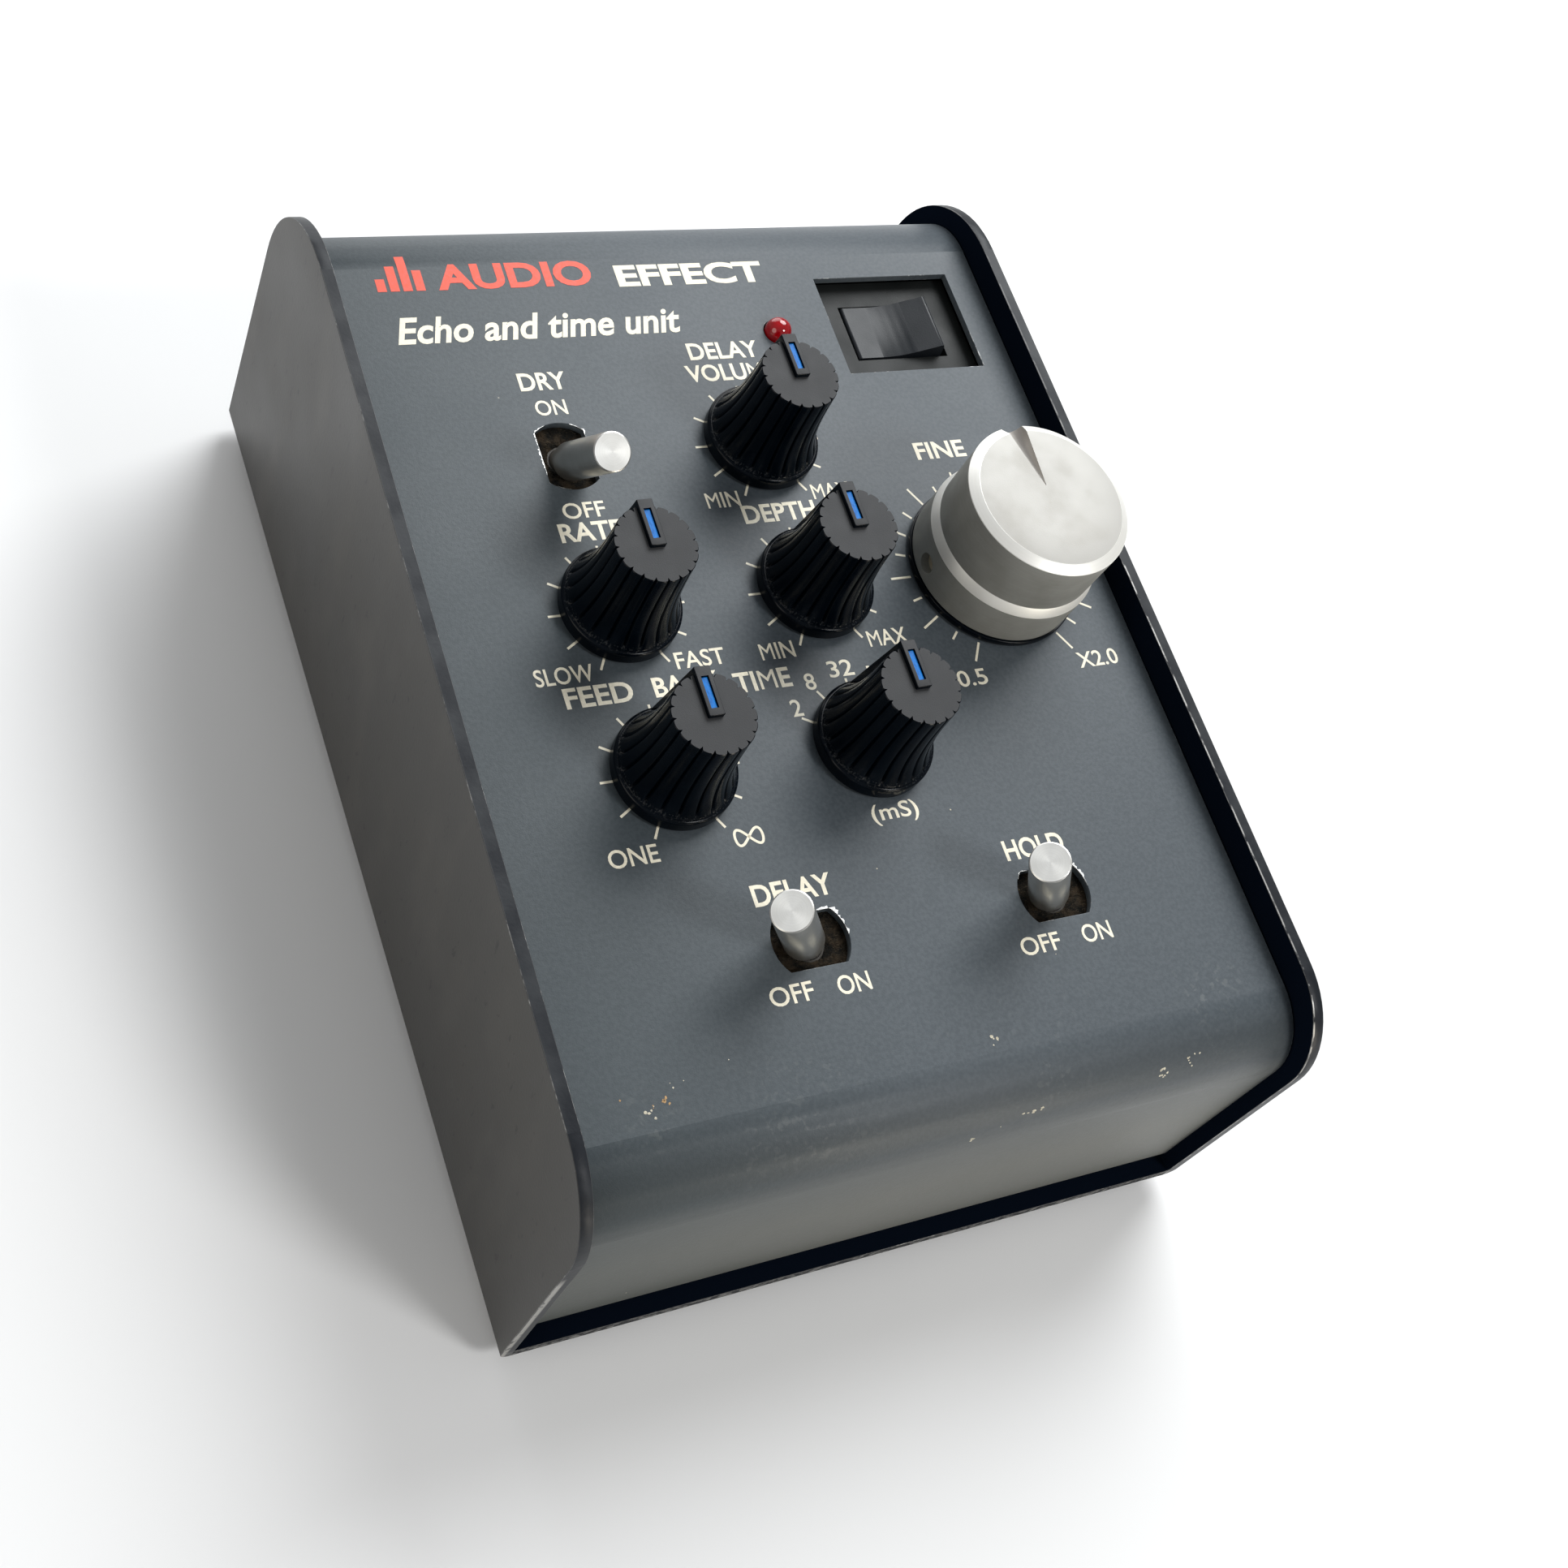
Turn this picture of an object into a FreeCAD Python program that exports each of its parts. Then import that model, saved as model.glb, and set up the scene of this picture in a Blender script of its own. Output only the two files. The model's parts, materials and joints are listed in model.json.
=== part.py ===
"""Desktop audio delay unit: sheet-steel case, sloping control panel, knobs, toggles and rocker."""
import FreeCAD, Part
import math
import os

from FreeCAD import Placement, Rotation, Vector

DIMENSIONS = {
    # case
    "case_width": 110.0,
    "case_depth": 159.0,
    "front_height": 48.2,
    "panel_slope": 5.0,
    "sheet": 1.8,
    "front_corner": 13.0,
    "rear_corner": 19.5,
    "outer_bend": 1.7,
    "inner_bend": 0.25,
    "foot_height": 3.0,
    "foot_radius": 6.0,
    # grey shell between the cheeks
    "shell_sheet": 1.2,
    "shell_inset": 4.3,
    "front_inset": 2.3,
    "shell_gap": 0.3,
    "flange_length": 8.0,
    "flange_bend": 2.0,
    "shell_front_bend": 9.6,
    "shell_rear_bend": 12.0,
    "shaft_hole": 4.0,
    "socket_hole": 4.8,
    "inlet_hole": 4.1,
    # control layout, measured on the sloping panel
    "row_start": 80.0,
    "column_pitch": 29.85,
    "row_pitch": 24.5,
    "first_column": -26.25,
    # plate that carries the controls
    "plate_drop": 4.2,
    "plate_sheet": 1.5,
    "plate_width": 98.0,
    # small knob
    "knob_radius": 8.5,
    "knob_top_radius": 5.9,
    "knob_top": 16.75,
    "knob_gap": 0.5,
    "skirt_height": 2.3,
    "pointer_rise": 0.7,
    "pointer_width": 2.2,
    "pointer_reach": 6.3,
    "insert_width": 0.95,
    # big knob
    "dial_radius": 13.0,
    "dial_upper_radius": 12.35,
    "dial_top": 19.25,
    # shafts and pots
    "shaft_radius": 3.0,
    "running_gap": 0.05,
    "bushing_radius": 3.5,
    "bushing_top": -1.9,
    "pot_radius": 8.25,
    "pot_depth": 7.0,
    "dial_pot_radius": 12.0,
    # toggles
    "toggle_tilt": 29.0,
    "pivot_drop": 1.8,
    "lever_radius": 2.75,
    "lever_length": 17.4,
    "lever_start": 2.8,
    "neck_radius": 1.5,
    "ball_radius": 2.15,
    "slot_length": 11.0,
    "slot_width": 7.4,
    "toggle_bushing": 3.0,
    "pad_sheet": 1.1,
    "pad_length": 15.0,
    "pad_width": 12.0,
    "pad_opening": 2.45,
    # lamp
    "lamp_radius": 2.05,
    # rocker switch
    "window_length": 24.0,
    "window_width": 17.8,
    "bezel_drop": 2.4,
    "opening_length": 16.2,
    "opening_width": 10.1,
    "rocker_tilt": 9.5,
    "rocker_half": 7.3,
    "rocker_width": 9.5,
    "rocker_rise": 3.0,
    # rear sockets
    "socket_radius": 3.25,
    "socket_height": -35.0,
    "inlet_radius": 1.8,
    # boards
    "board_sheet": 1.6,
    "standoff": 6.0,
    "control_board_drop": 17.5,
    # screws
    "screw_radius": 1.5,
    "screw_length": 4.5,
    "screw_hole": 1.6,
}

doc = FreeCAD.newDocument("delay_unit")
sheet = doc.addObject("Spreadsheet::Sheet", "dims")
for row, (alias, value) in enumerate(DIMENSIONS.items(), start=1):
    sheet.set(f"A{row}", alias)
    sheet.set(f"B{row}", str(value))
    sheet.setAlias(f"B{row}", alias)
doc.recompute()


def dim(alias):
    """Value of a driving dimension."""
    return float(sheet.get(alias))


# ---------------------------------------------------------------- frame of the panel
SLOPE = math.radians(dim("panel_slope"))
FRONT = -dim("case_depth") / 2
REAR = dim("case_depth") / 2
FLOOR = dim("foot_height")
PLATE_TOP = FLOOR + dim("sheet")
TOP_LENGTH = (dim("case_depth") - dim("front_height") * math.tan(SLOPE)) * math.cos(SLOPE)
ALONG = Vector(0, math.cos(SLOPE), math.sin(SLOPE))
OUT = Vector(0, -math.sin(SLOPE), math.cos(SLOPE))
FRONT_TOP = Vector(0, FRONT, FLOOR + dim("front_height"))
PANEL_ORIGIN = FRONT_TOP + ALONG * dim("row_start") - OUT * dim("shell_inset")
PANEL = Placement(PANEL_ORIGIN, Rotation(Vector(1, 0, 0), dim("panel_slope")))
REAR_FACE = TOP_LENGTH - dim("row_start") - dim("shell_inset")

FIRST = dim("first_column")
SECOND = FIRST + dim("column_pitch")
THIRD = SECOND + dim("column_pitch")
ROW = dim("row_pitch")
SMALL_KNOBS = {
    "rate": (FIRST, 0.0),
    "feedback": (FIRST, -ROW),
    "delay_volume": (SECOND, ROW),
    "depth": (SECOND, 0.0),
    "time": (SECOND, -ROW),
}
DIAL = (THIRD, 0.0)
TOGGLES = {
    # name: (across, up the slope, turn of the switch about its own axis)
    "dry": (FIRST, 24.7, 90.0),
    "delay": (-14.8, -50.0, 0.0),
    "hold": (22.85, -50.0, 0.0),
}
LAMP = (13.75, 43.8)
ROCKER = (35.5, 44.5)
SOCKETS = {"input": -34.0, "output": -10.0}
INLET_ACROSS = 28.0
NODES = {}


def on_panel(across, up, out=0.0, turn=0.0):
    """Placement on the sloping panel, with its own Z along the panel's normal."""
    return PANEL * Placement(Vector(across, up, out), Rotation(Vector(0, 0, 1), turn))


def on_rear(across, out=0.0):
    """Placement at a rear socket, with its own Z pointing out of the rear face."""
    tip = Rotation(Vector(1, 0, 0), -90)
    return PANEL * Placement(Vector(across, REAR_FACE + out, dim("socket_height")), tip)


def keep(label, shape_object):
    """Name a finished sub-part."""
    shape_object.Label = label
    NODES[label] = shape_object
    return shape_object


def bind(obj, sizes):
    """Drive an object's sizes from numbers or from expressions on the sheet."""
    for name, size in sizes.items():
        if isinstance(size, str):
            obj.setExpression(name, size)
        else:
            setattr(obj, name, size)


def solid(kind, placement, **sizes):
    """A Part primitive with bound sizes."""
    obj = doc.addObject("Part::" + kind, kind.lower())
    bind(obj, sizes)
    obj.Placement = placement
    return obj


def cylinder(placement, radius, height):
    return solid("Cylinder", placement, Radius=radius, Height=height)


def block(placement, length, width, height):
    """A box centred on its placement across, standing on it."""
    shift = Placement(Vector(-length / 2, -width / 2, 0), Rotation())
    return solid("Box", placement * shift, Length=length, Width=width, Height=height)


def hexagon(placement, across_flats, height):
    """A hexagonal prism."""
    radius = across_flats / math.sqrt(3)
    return solid("Prism", placement, Polygon=6, Circumradius=radius, Height=height)


def fuse(*shapes):
    """One solid made of touching or overlapping shapes."""
    if len(shapes) == 1:
        return shapes[0]
    obj = doc.addObject("Part::MultiFuse", "fuse")
    obj.Shapes = list(shapes)
    obj.Refine = True
    return obj


def group(label, shapes):
    """Separate identical solids that share one node."""
    obj = doc.addObject("Part::Compound", "group")
    obj.Links = list(shapes)
    return keep(label, obj)


def cut(base, *tools):
    """A base with tools taken away."""
    obj = doc.addObject("Part::Cut", "cut")
    obj.Base = base
    obj.Tool = fuse(*tools)
    obj.Refine = True
    return obj


# ---------------------------------------------------------------- sketches
def rounded(points, radii):
    """Lines and arcs of a path whose corners are rounded by the given radii."""
    pieces = []
    start = points[0]
    for before, corner, after, radius in zip(points, points[1:], points[2:], radii):
        into = (before - corner).normalize()
        away = (after - corner).normalize()
        half = into.getAngle(away) / 2
        setback = radius / math.tan(half)
        middle = (into + away).normalize()
        centre = corner + middle * (radius / math.sin(half))
        first = corner + into * setback
        last = corner + away * setback
        pieces.append(Part.LineSegment(start, first))
        pieces.append(Part.Arc(first, centre - middle * radius, last))
        start = last
    pieces.append(Part.LineSegment(start, points[-1]))
    return pieces


def offset_path(points, distance):
    """The same open path moved sideways, to the left of its direction."""
    lines = []
    for a, b in zip(points, points[1:]):
        along = (b - a).normalize()
        side = Vector(-along.y, along.x, 0) * distance
        lines.append((a + side, along))
    moved = [lines[0][0]]
    for (p, d), (q, e) in zip(lines, lines[1:]):
        gap = q - p
        cross = d.x * e.y - d.y * e.x
        moved.append(p + d * ((gap.x * e.y - gap.y * e.x) / cross))
    last = lines[-1]
    moved.append(last[0] + last[1] * (points[-1] - points[-2]).Length)
    return moved


def band(points, radii, thickness):
    """Closed outline of a bent strip that lies to the left of the path."""
    inner = offset_path(points, thickness)
    inner_radii = []
    for before, corner, after, radius in zip(points, points[1:], points[2:], radii):
        turns_left = (corner - before).cross(after - corner).z > 0
        inner_radii.append(radius - thickness if turns_left else radius + thickness)
    outside = rounded(points, radii)
    inside = rounded(inner, inner_radii)
    first_cap = Part.LineSegment(points[0], inner[0])
    last_cap = Part.LineSegment(points[-1], inner[-1])
    return outside + inside + [first_cap, last_cap]


def body_with_sketch(plane, pieces):
    """A body holding one sketch on one of its origin planes."""
    body = doc.addObject("PartDesign::Body", "body")
    sketch = body.newObject("Sketcher::SketchObject", "outline")
    face = next(f for f in body.Origin.OriginFeatures if f.Role == plane)
    sketch.AttachmentSupport = (face, [""])
    sketch.MapMode = "FlatFace"
    sketch.addGeometry(pieces, False)
    return body, sketch


def closed(points):
    """Straight closed outline."""
    corners = [Vector(x, y, 0) for x, y in points]
    return [Part.LineSegment(a, b) for a, b in zip(corners, corners[1:] + corners[:1])]


def padded(plane, pieces, length, placement=Placement()):
    """A body padded both ways from a plane by a length taken from the sheet."""
    body, sketch = body_with_sketch(plane, pieces)
    pad = body.newObject("PartDesign::Pad", "pad")
    pad.Profile = sketch
    pad.Midplane = True
    bind(pad, {"Length": length})
    body.Placement = placement
    return body


def turned(profile, placement):
    """A body of revolution about its own Z from (radius, height) points or ready pieces."""
    pieces = closed(profile) if isinstance(profile[0], tuple) else profile
    body, sketch = body_with_sketch("XZ_Plane", pieces)
    turn = body.newObject("PartDesign::Revolution", "turn")
    turn.Profile = sketch
    turn.ReferenceAxis = (sketch, ["V_Axis"])
    turn.Angle = 360.0
    body.Placement = placement
    return body


# ---------------------------------------------------------------- case
def case_outline():
    """Side outline of a cheek: square to the floor in front, square to the top behind."""
    top_rear = FRONT_TOP + ALONG * TOP_LENGTH
    corners = [
        Vector(FRONT, FLOOR, 0),
        Vector(FRONT, FRONT_TOP.z, 0),
        Vector(top_rear.y, top_rear.z, 0),
        Vector(REAR, FLOOR, 0),
    ]
    bottom = Part.LineSegment(corners[3], corners[0])
    return rounded(corners, [dim("front_corner"), dim("rear_corner")]) + [bottom]


SHELL_SCREWS = [(x, y) for x in (-28, 28) for y in (FRONT + 7.0, REAR - 9.0)]
BOARD_SCREWS = [(x, y) for x in (-42, 42) for y in (-55, 50)]
FOOT_SCREWS = [(x, y) for x in (-42, 42) for y in (-64.5, 61.5)]


def base_chassis():
    """Bottom plate and two cheeks, bent from one sheet."""
    block_body = padded("YZ_Plane", case_outline(), "dims.case_width")
    room = solid(
        "Box",
        Placement(Vector(dim("sheet") - dim("case_width") / 2, -100, PLATE_TOP), Rotation()),
        Length="dims.case_width - 2 * dims.sheet",
        Width=200.0,
        Height=100.0,
    )
    tools = [room]
    for x, y in SHELL_SCREWS + BOARD_SCREWS:
        tools.append(cylinder(Placement(Vector(x, y, 0), Rotation()), "dims.screw_hole", 10.0))
    for x, y in FOOT_SCREWS:
        tools.append(cylinder(Placement(Vector(x, y, 0), Rotation()), "dims.screw_radius", 10.0))
    channel = cut(block_body, *tools)
    doc.recompute()
    bends = []
    for number, edge in enumerate(channel.Shape.Edges, start=1):
        box = edge.BoundBox
        lengthwise = box.YLength > 100 and box.ZLength < 0.1
        if lengthwise and abs(box.ZMin - FLOOR) < 0.01:
            bends.append((number, dim("outer_bend"), dim("outer_bend")))
        elif lengthwise and abs(box.ZMin - PLATE_TOP) < 0.01:
            bends.append((number, dim("inner_bend"), dim("inner_bend")))
    bent = doc.addObject("Part::Fillet", "bent")
    bent.Base = channel
    bent.Edges = bends
    return keep("base_chassis", bent)


def shell_path():
    """Outer side of the shell: front flange, front, panel, rear, rear flange."""
    front = FRONT + dim("front_inset")
    panel_point = PANEL_ORIGIN
    front_top = panel_point + ALONG * ((front - panel_point.y) / ALONG.y)
    rear_top = panel_point + ALONG * REAR_FACE
    down = OUT * -1
    rear_foot = rear_top + down * ((rear_top.z - PLATE_TOP) / OUT.z)
    flange = dim("flange_length")
    side = [
        (front + flange, PLATE_TOP),
        (front, PLATE_TOP),
        (front, front_top.z),
        (rear_top.y, rear_top.z),
        (rear_foot.y, PLATE_TOP),
        (rear_foot.y - flange, PLATE_TOP),
    ]
    return [Vector(y, z, 0) for y, z in side]


def top_shell():
    """Grey front, panel and rear, bent from one sheet, with every opening in it."""
    bends = [dim(name) for name in ("flange_bend", "shell_front_bend", "shell_rear_bend", "flange_bend")]
    outline = band(list(reversed(shell_path())), list(reversed(bends)), dim("shell_sheet"))
    width = "dims.case_width - 2 * dims.sheet - 2 * dims.shell_gap"
    blank = padded("YZ_Plane", outline, width)
    tools = []
    for across, up in list(SMALL_KNOBS.values()) + [DIAL]:
        tools.append(cylinder(on_panel(across, up, -5), "dims.shaft_hole", 10.0))
    for across, up, turn in TOGGLES.values():
        place = on_panel(across, up, -5, turn)
        slot = block(place, dim("slot_length"), dim("slot_width"), 10.0)
        ends = cylinder(place, "dims.slot_length / 2", 10.0)
        round_ended = doc.addObject("Part::Common", "slot")
        round_ended.Base = slot
        round_ended.Tool = ends
        tools.append(round_ended)
    tools.append(cylinder(on_panel(*LAMP, -5), "dims.lamp_radius + 0.15", 10.0))
    tools.append(block(on_panel(*ROCKER, -5), dim("window_length"), dim("window_width"), 10.0))
    for across in SOCKETS.values():
        tools.append(cylinder(on_rear(across, -5), "dims.socket_hole", 10.0))
    tools.append(cylinder(on_rear(INLET_ACROSS, -5), "dims.inlet_hole", 10.0))
    for x, y in SHELL_SCREWS:
        place = Placement(Vector(x, y, 0), Rotation())
        tools.append(cylinder(place, "dims.screw_radius", PLATE_TOP + 3))
    return keep("top_shell", cut(blank, *tools))


def feet():
    """Four moulded rubber feet, each held by a screw in its recess."""
    rubber = []
    screws = []
    for x, y in FOOT_SCREWS:
        place = Placement(Vector(x, y, 0), Rotation())
        pad = solid("Cone", place, Radius1="dims.foot_radius - 0.6", Radius2="dims.foot_radius",
                    Height="dims.foot_height")
        recess = cylinder(place, 3.2, 1.6)
        hole = cylinder(place, "dims.screw_radius", "dims.foot_height")
        rubber.append(cut(pad, recess, hole))
        head = cylinder(place * Placement(Vector(0, 0, 0.5), Rotation()), 2.8, 1.1)
        shank = cylinder(place * Placement(Vector(0, 0, 1.6), Rotation()), "dims.screw_radius", 5.6)
        screws.append(fuse(head, shank))
    group("rubber_feet", rubber)
    group("foot_screws", screws)


def screw(place):
    """A short pan-head screw whose shank points along the placement's Z from under its head."""
    head = cylinder(place * Placement(Vector(0, 0, -1.6), Rotation()), 2.7, 1.6)
    shank = cylinder(place, "dims.screw_radius", "dims.screw_length")
    return fuse(head, shank)


def bottom_screws():
    """Screws from below into the shell's flanges and the board's standoffs."""
    places = [Placement(Vector(x, y, FLOOR), Rotation()) for x, y in SHELL_SCREWS + BOARD_SCREWS]
    group("bottom_screws", [screw(place) for place in places])


# ---------------------------------------------------------------- main board
def main_board():
    """Board over the bottom plate with its standoffs, screws and parts."""
    thickness = dim("board_sheet")
    under = PLATE_TOP + dim("standoff")
    over = under + thickness
    holes = []
    standoffs = []
    for x, y in BOARD_SCREWS:
        post = hexagon(Placement(Vector(x, y, PLATE_TOP), Rotation()), 5.5, dim("standoff"))
        bore = cylinder(Placement(Vector(x, y, PLATE_TOP), Rotation()), "dims.screw_radius",
                        dim("standoff"))
        standoffs.append(cut(post, bore))
        holes.append(cylinder(Placement(Vector(x, y, under), Rotation()), "dims.screw_hole", 3.0))
    blank = block(Placement(Vector(0, -2, under), Rotation()), 96.0, 118.0, thickness)
    keep("main_board", cut(blank, *holes))
    group("board_standoffs", standoffs)

    chips = []
    for x, y, length in ((-22, -30, 34), (-22, -10, 34), (14, -30, 20), (14, -10, 20), (14, 10, 20)):
        chips.append(block(Placement(Vector(x, y, over), Rotation()), length, 7.6, 3.6))
    group("board_chips", chips)

    cans = []
    for x, y, radius, height in ((-36, 22, 5, 12), (-22, 22, 5, 12), (-8, 26, 4, 9), (36, -36, 4, 9),
                                 (36, -20, 4, 9), (36, -4, 3.2, 7)):
        cans.append(cylinder(Placement(Vector(x, y, over), Rotation()), float(radius), float(height)))
    group("board_capacitors", cans)

    tab = block(Placement(Vector(34, 22, over), Rotation()), 15.0, 12.0, 9.0)
    channel = block(Placement(Vector(34, 23.5, over + 1.5), Rotation()), 12.0, 9.0, 9.0)
    keep("regulator_heatsink", cut(tab, channel))
    keep("regulator", block(Placement(Vector(34, 21.0, over + 1.5), Rotation()), 10.0, 4.0, 6.5))
    return over


# ---------------------------------------------------------------- controls
PLATE_FACE = -dim("plate_drop")
PLATE_BACK = PLATE_FACE - dim("plate_sheet")
PLATE_LENGTH = 114.0
CABLE_UP = -40.0
CABLE_END = -49.0
HEADER_HEIGHT = 6.0
PLATE_MIDDLE = -5.0
PLATE_POSTS = [(x, up) for x in (-45, 45) for up in (-57.0, 28.5)]


def control_plate():
    """Steel plate behind the panel, hung on four spacers under the shell."""
    plate = block(on_panel(0, PLATE_MIDDLE, PLATE_BACK), dim("plate_width"), PLATE_LENGTH,
                  dim("plate_sheet"))
    tools = []
    for across, up in list(SMALL_KNOBS.values()) + [DIAL]:
        tools.append(cylinder(on_panel(across, up, PLATE_BACK), "dims.bushing_radius", 5.0))
    for across, up, turn in TOGGLES.values():
        tools.append(cylinder(on_panel(across, up, PLATE_BACK), "dims.toggle_bushing", 5.0))
    tools.append(cylinder(on_panel(*LAMP, PLATE_BACK), "dims.lamp_radius + 0.5", 5.0))
    tools.append(block(on_panel(*ROCKER, PLATE_BACK), 20.0, 13.0, 5.0))
    for across, up in PLATE_POSTS:
        tools.append(cylinder(on_panel(across, up, PLATE_BACK), "dims.screw_radius", 5.0))
    keep("control_plate", cut(plate, *tools))

    spacers = []
    gap = dim("plate_drop") - dim("shell_sheet")
    for across, up in PLATE_POSTS:
        place = on_panel(across, up, PLATE_FACE)
        spacers.append(cut(cylinder(place, 3.0, gap), cylinder(place, "dims.screw_radius", gap)))
    group("plate_spacers", spacers)


def inner_screws(over_main):
    """Screws that hold the main board down and the control plate up."""
    over = Rotation(Vector(1, 0, 0), 180)
    places = [Placement(Vector(x, y, over_main), over) for x, y in BOARD_SCREWS]
    places += [on_panel(across, up, PLATE_BACK) for across, up in PLATE_POSTS]
    group("inner_screws", [screw(place) for place in places])


def pot(label, across, up, radius, depth):
    """Round control body: can, threaded bushing and three pins down to the control board."""
    below = PLATE_BACK - depth
    can = cylinder(on_panel(across, up, below), radius, depth)
    bushing = cylinder(on_panel(across, up, PLATE_BACK), "dims.bushing_radius",
                       dim("bushing_top") - PLATE_BACK)
    pins = []
    for number in (-1, 0, 1):
        place = on_panel(across + 2.5 * number, up - 5.5, -dim("control_board_drop"))
        pins.append(cylinder(place, 0.5, dim("control_board_drop") + below + 1.0))
    bore = cylinder(on_panel(across, up, PLATE_BACK - 3.0), "dims.shaft_radius + dims.running_gap", 20.0)
    return keep(label, cut(fuse(can, bushing, *pins), bore))


def pots():
    """Five small controls, the big one, and their nuts."""
    nuts = []
    for name, (across, up) in SMALL_KNOBS.items():
        if name == "time":
            pot("time_rotary_switch", across, up, 10.5, 10.0)
        else:
            pot(name + "_pot", across, up, dim("pot_radius"), dim("pot_depth"))
    pot("fine_pot", *DIAL, dim("dial_pot_radius"), 9.0)
    for across, up in list(SMALL_KNOBS.values()) + [DIAL]:
        place = on_panel(across, up, PLATE_FACE)
        nuts.append(cut(hexagon(place, 10.0, 2.0), cylinder(place, "dims.bushing_radius", 5.0)))
    group("pot_nuts", nuts)


def control_board():
    """Board that the controls' pins stand on."""
    thickness = dim("board_sheet")
    under = -dim("control_board_drop") - thickness
    blank = block(on_panel(-2.0, -14.0, under), 92.0, 88.0, thickness)
    keep("control_board", blank)


def headers(over_main):
    """The two sockets that the ribbon cable plugs into."""
    upper = on_panel(0, CABLE_UP, -dim("control_board_drop") - dim("board_sheet") - HEADER_HEIGHT)
    lower = Placement(Vector(0, CABLE_END, over_main), Rotation())
    group("ribbon_headers", [block(place, 26.0, 6.0, HEADER_HEIGHT) for place in (upper, lower)])


def ribbon_cable(over_main):
    """Flat cable bent twice between the two headers."""
    drop = dim("control_board_drop") + dim("board_sheet") + HEADER_HEIGHT
    start = PANEL.multVec(Vector(0, CABLE_UP, -drop))
    end_height = over_main + HEADER_HEIGHT
    level = (start.z + end_height) / 2
    points = [
        Vector(start.y, start.z - 0.3, 0),
        Vector(start.y, level, 0),
        Vector(CABLE_END, level, 0),
        Vector(CABLE_END, end_height, 0),
    ]
    outline = band(points, [1.6, 1.6], 0.8)
    keep("ribbon_cable", padded("YZ_Plane", outline, 24.0))


def lamp():
    """Indicator lamp with its flange and legs, and the ring that holds it."""
    radius = dim("lamp_radius")
    low = PLATE_BACK + 0.3
    stem = cylinder(on_panel(*LAMP, low), "dims.lamp_radius", 0.3 - low)
    dome = solid("Sphere", on_panel(*LAMP, 0.3), Radius="dims.lamp_radius")
    flange = cylinder(on_panel(*LAMP, low), radius + 0.4, 1.0)
    legs = [cylinder(on_panel(LAMP[0] + side, LAMP[1], -dim("control_board_drop")), 0.3, 13.0)
            for side in (-1.27, 1.27)]
    keep("indicator_lamp", fuse(stem, dome, flange, *legs))
    height = dim("plate_drop") - dim("shell_sheet")
    ring_place = on_panel(*LAMP, PLATE_FACE)
    ring = cylinder(ring_place, radius + 1.4, height)
    keep("lamp_ring", cut(ring, cylinder(ring_place, "dims.lamp_radius", 5.0)))


def knob_profile():
    """Right half of the small knob: skirt, tapering flank and flat top around a blind bore."""
    base = dim("knob_gap")
    top = dim("knob_top")
    edge = dim("knob_radius")
    rim = dim("knob_top_radius")
    bore = dim("shaft_radius")
    skirt_top = base + dim("skirt_height")
    return [(bore, base), (edge, base), (edge, skirt_top - 0.8), (FLANK_RADIUS + 0.3, skirt_top),
            (FLANK_RADIUS, skirt_top), (rim - 0.1, top - 0.5), (rim, top), (0, top),
            (0, top - KNOB_CAP), (bore, top - KNOB_CAP)]


FLANK_RADIUS = 7.3
KNOB_CAP = 3.5
FLUTES = 20
POINTER_NEAR = -0.6


def small_knob(name, across, up):
    """Fluted knob with its raised pointer, coloured insert and steel shaft."""
    place = on_panel(across, up)
    body = turned(knob_profile(), place)
    top = dim("knob_top")
    skirt_top = dim("knob_gap") + dim("skirt_height")
    lean = math.degrees(math.atan((FLANK_RADIUS - dim("knob_top_radius")) / (top - skirt_top)))
    groove = body.newObject("PartDesign::SubtractiveCylinder", "flute")
    groove.Radius = 0.6
    groove.Height = 30.0
    groove.Placement = Placement(Vector(FLANK_RADIUS + 0.25, 0, skirt_top + 0.1),
                                 Rotation(Vector(0, 1, 0), -lean))
    ring = body.newObject("PartDesign::PolarPattern", "flutes")
    ring.Originals = [groove]
    ring.Axis = (next(f for f in body.Origin.OriginFeatures if f.Role == "Z_Axis"), [""])
    ring.Angle = 360.0
    ring.Occurrences = FLUTES
    body.Tip = ring

    crest = top + dim("pointer_rise")
    reach = dim("pointer_reach")
    foot = skirt_top - 0.3
    side = [(POINTER_NEAR, top - 1.0), (FLANK_RADIUS - 2.6, top - 1.0), (FLANK_RADIUS - 1.6, foot),
            (FLANK_RADIUS + 0.5, foot), (reach, crest), (POINTER_NEAR, crest)]
    pointer = padded("YZ_Plane", closed(side), "dims.pointer_width", place)
    seat_length = reach - 1.8
    seat_place = on_panel(across, up + 0.4 + seat_length / 2, top - 0.2)
    seat = block(seat_place, dim("insert_width"), seat_length, 2.0)
    keep(name + "_knob", cut(fuse(body, pointer), seat))
    insert = block(seat_place, dim("insert_width"), seat_length, dim("pointer_rise") + 0.15)
    keep(name + "_pointer_insert", insert)
    shaft_low = PLATE_BACK - 2.7
    shaft = cylinder(on_panel(across, up, shaft_low), "dims.shaft_radius", top - KNOB_CAP - shaft_low)
    keep(name + "_shaft", shaft)


NOTCH_START = 2.1
NOTCH_DIP = 3.5
NOTCH_SPREAD = 0.175
DIAL_SET = 5.0
DIAL_HOLE_TURN = 181.0
DIAL_HOLE_HEIGHT = 4.1
GRUB_LENGTH = 8.6


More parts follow.
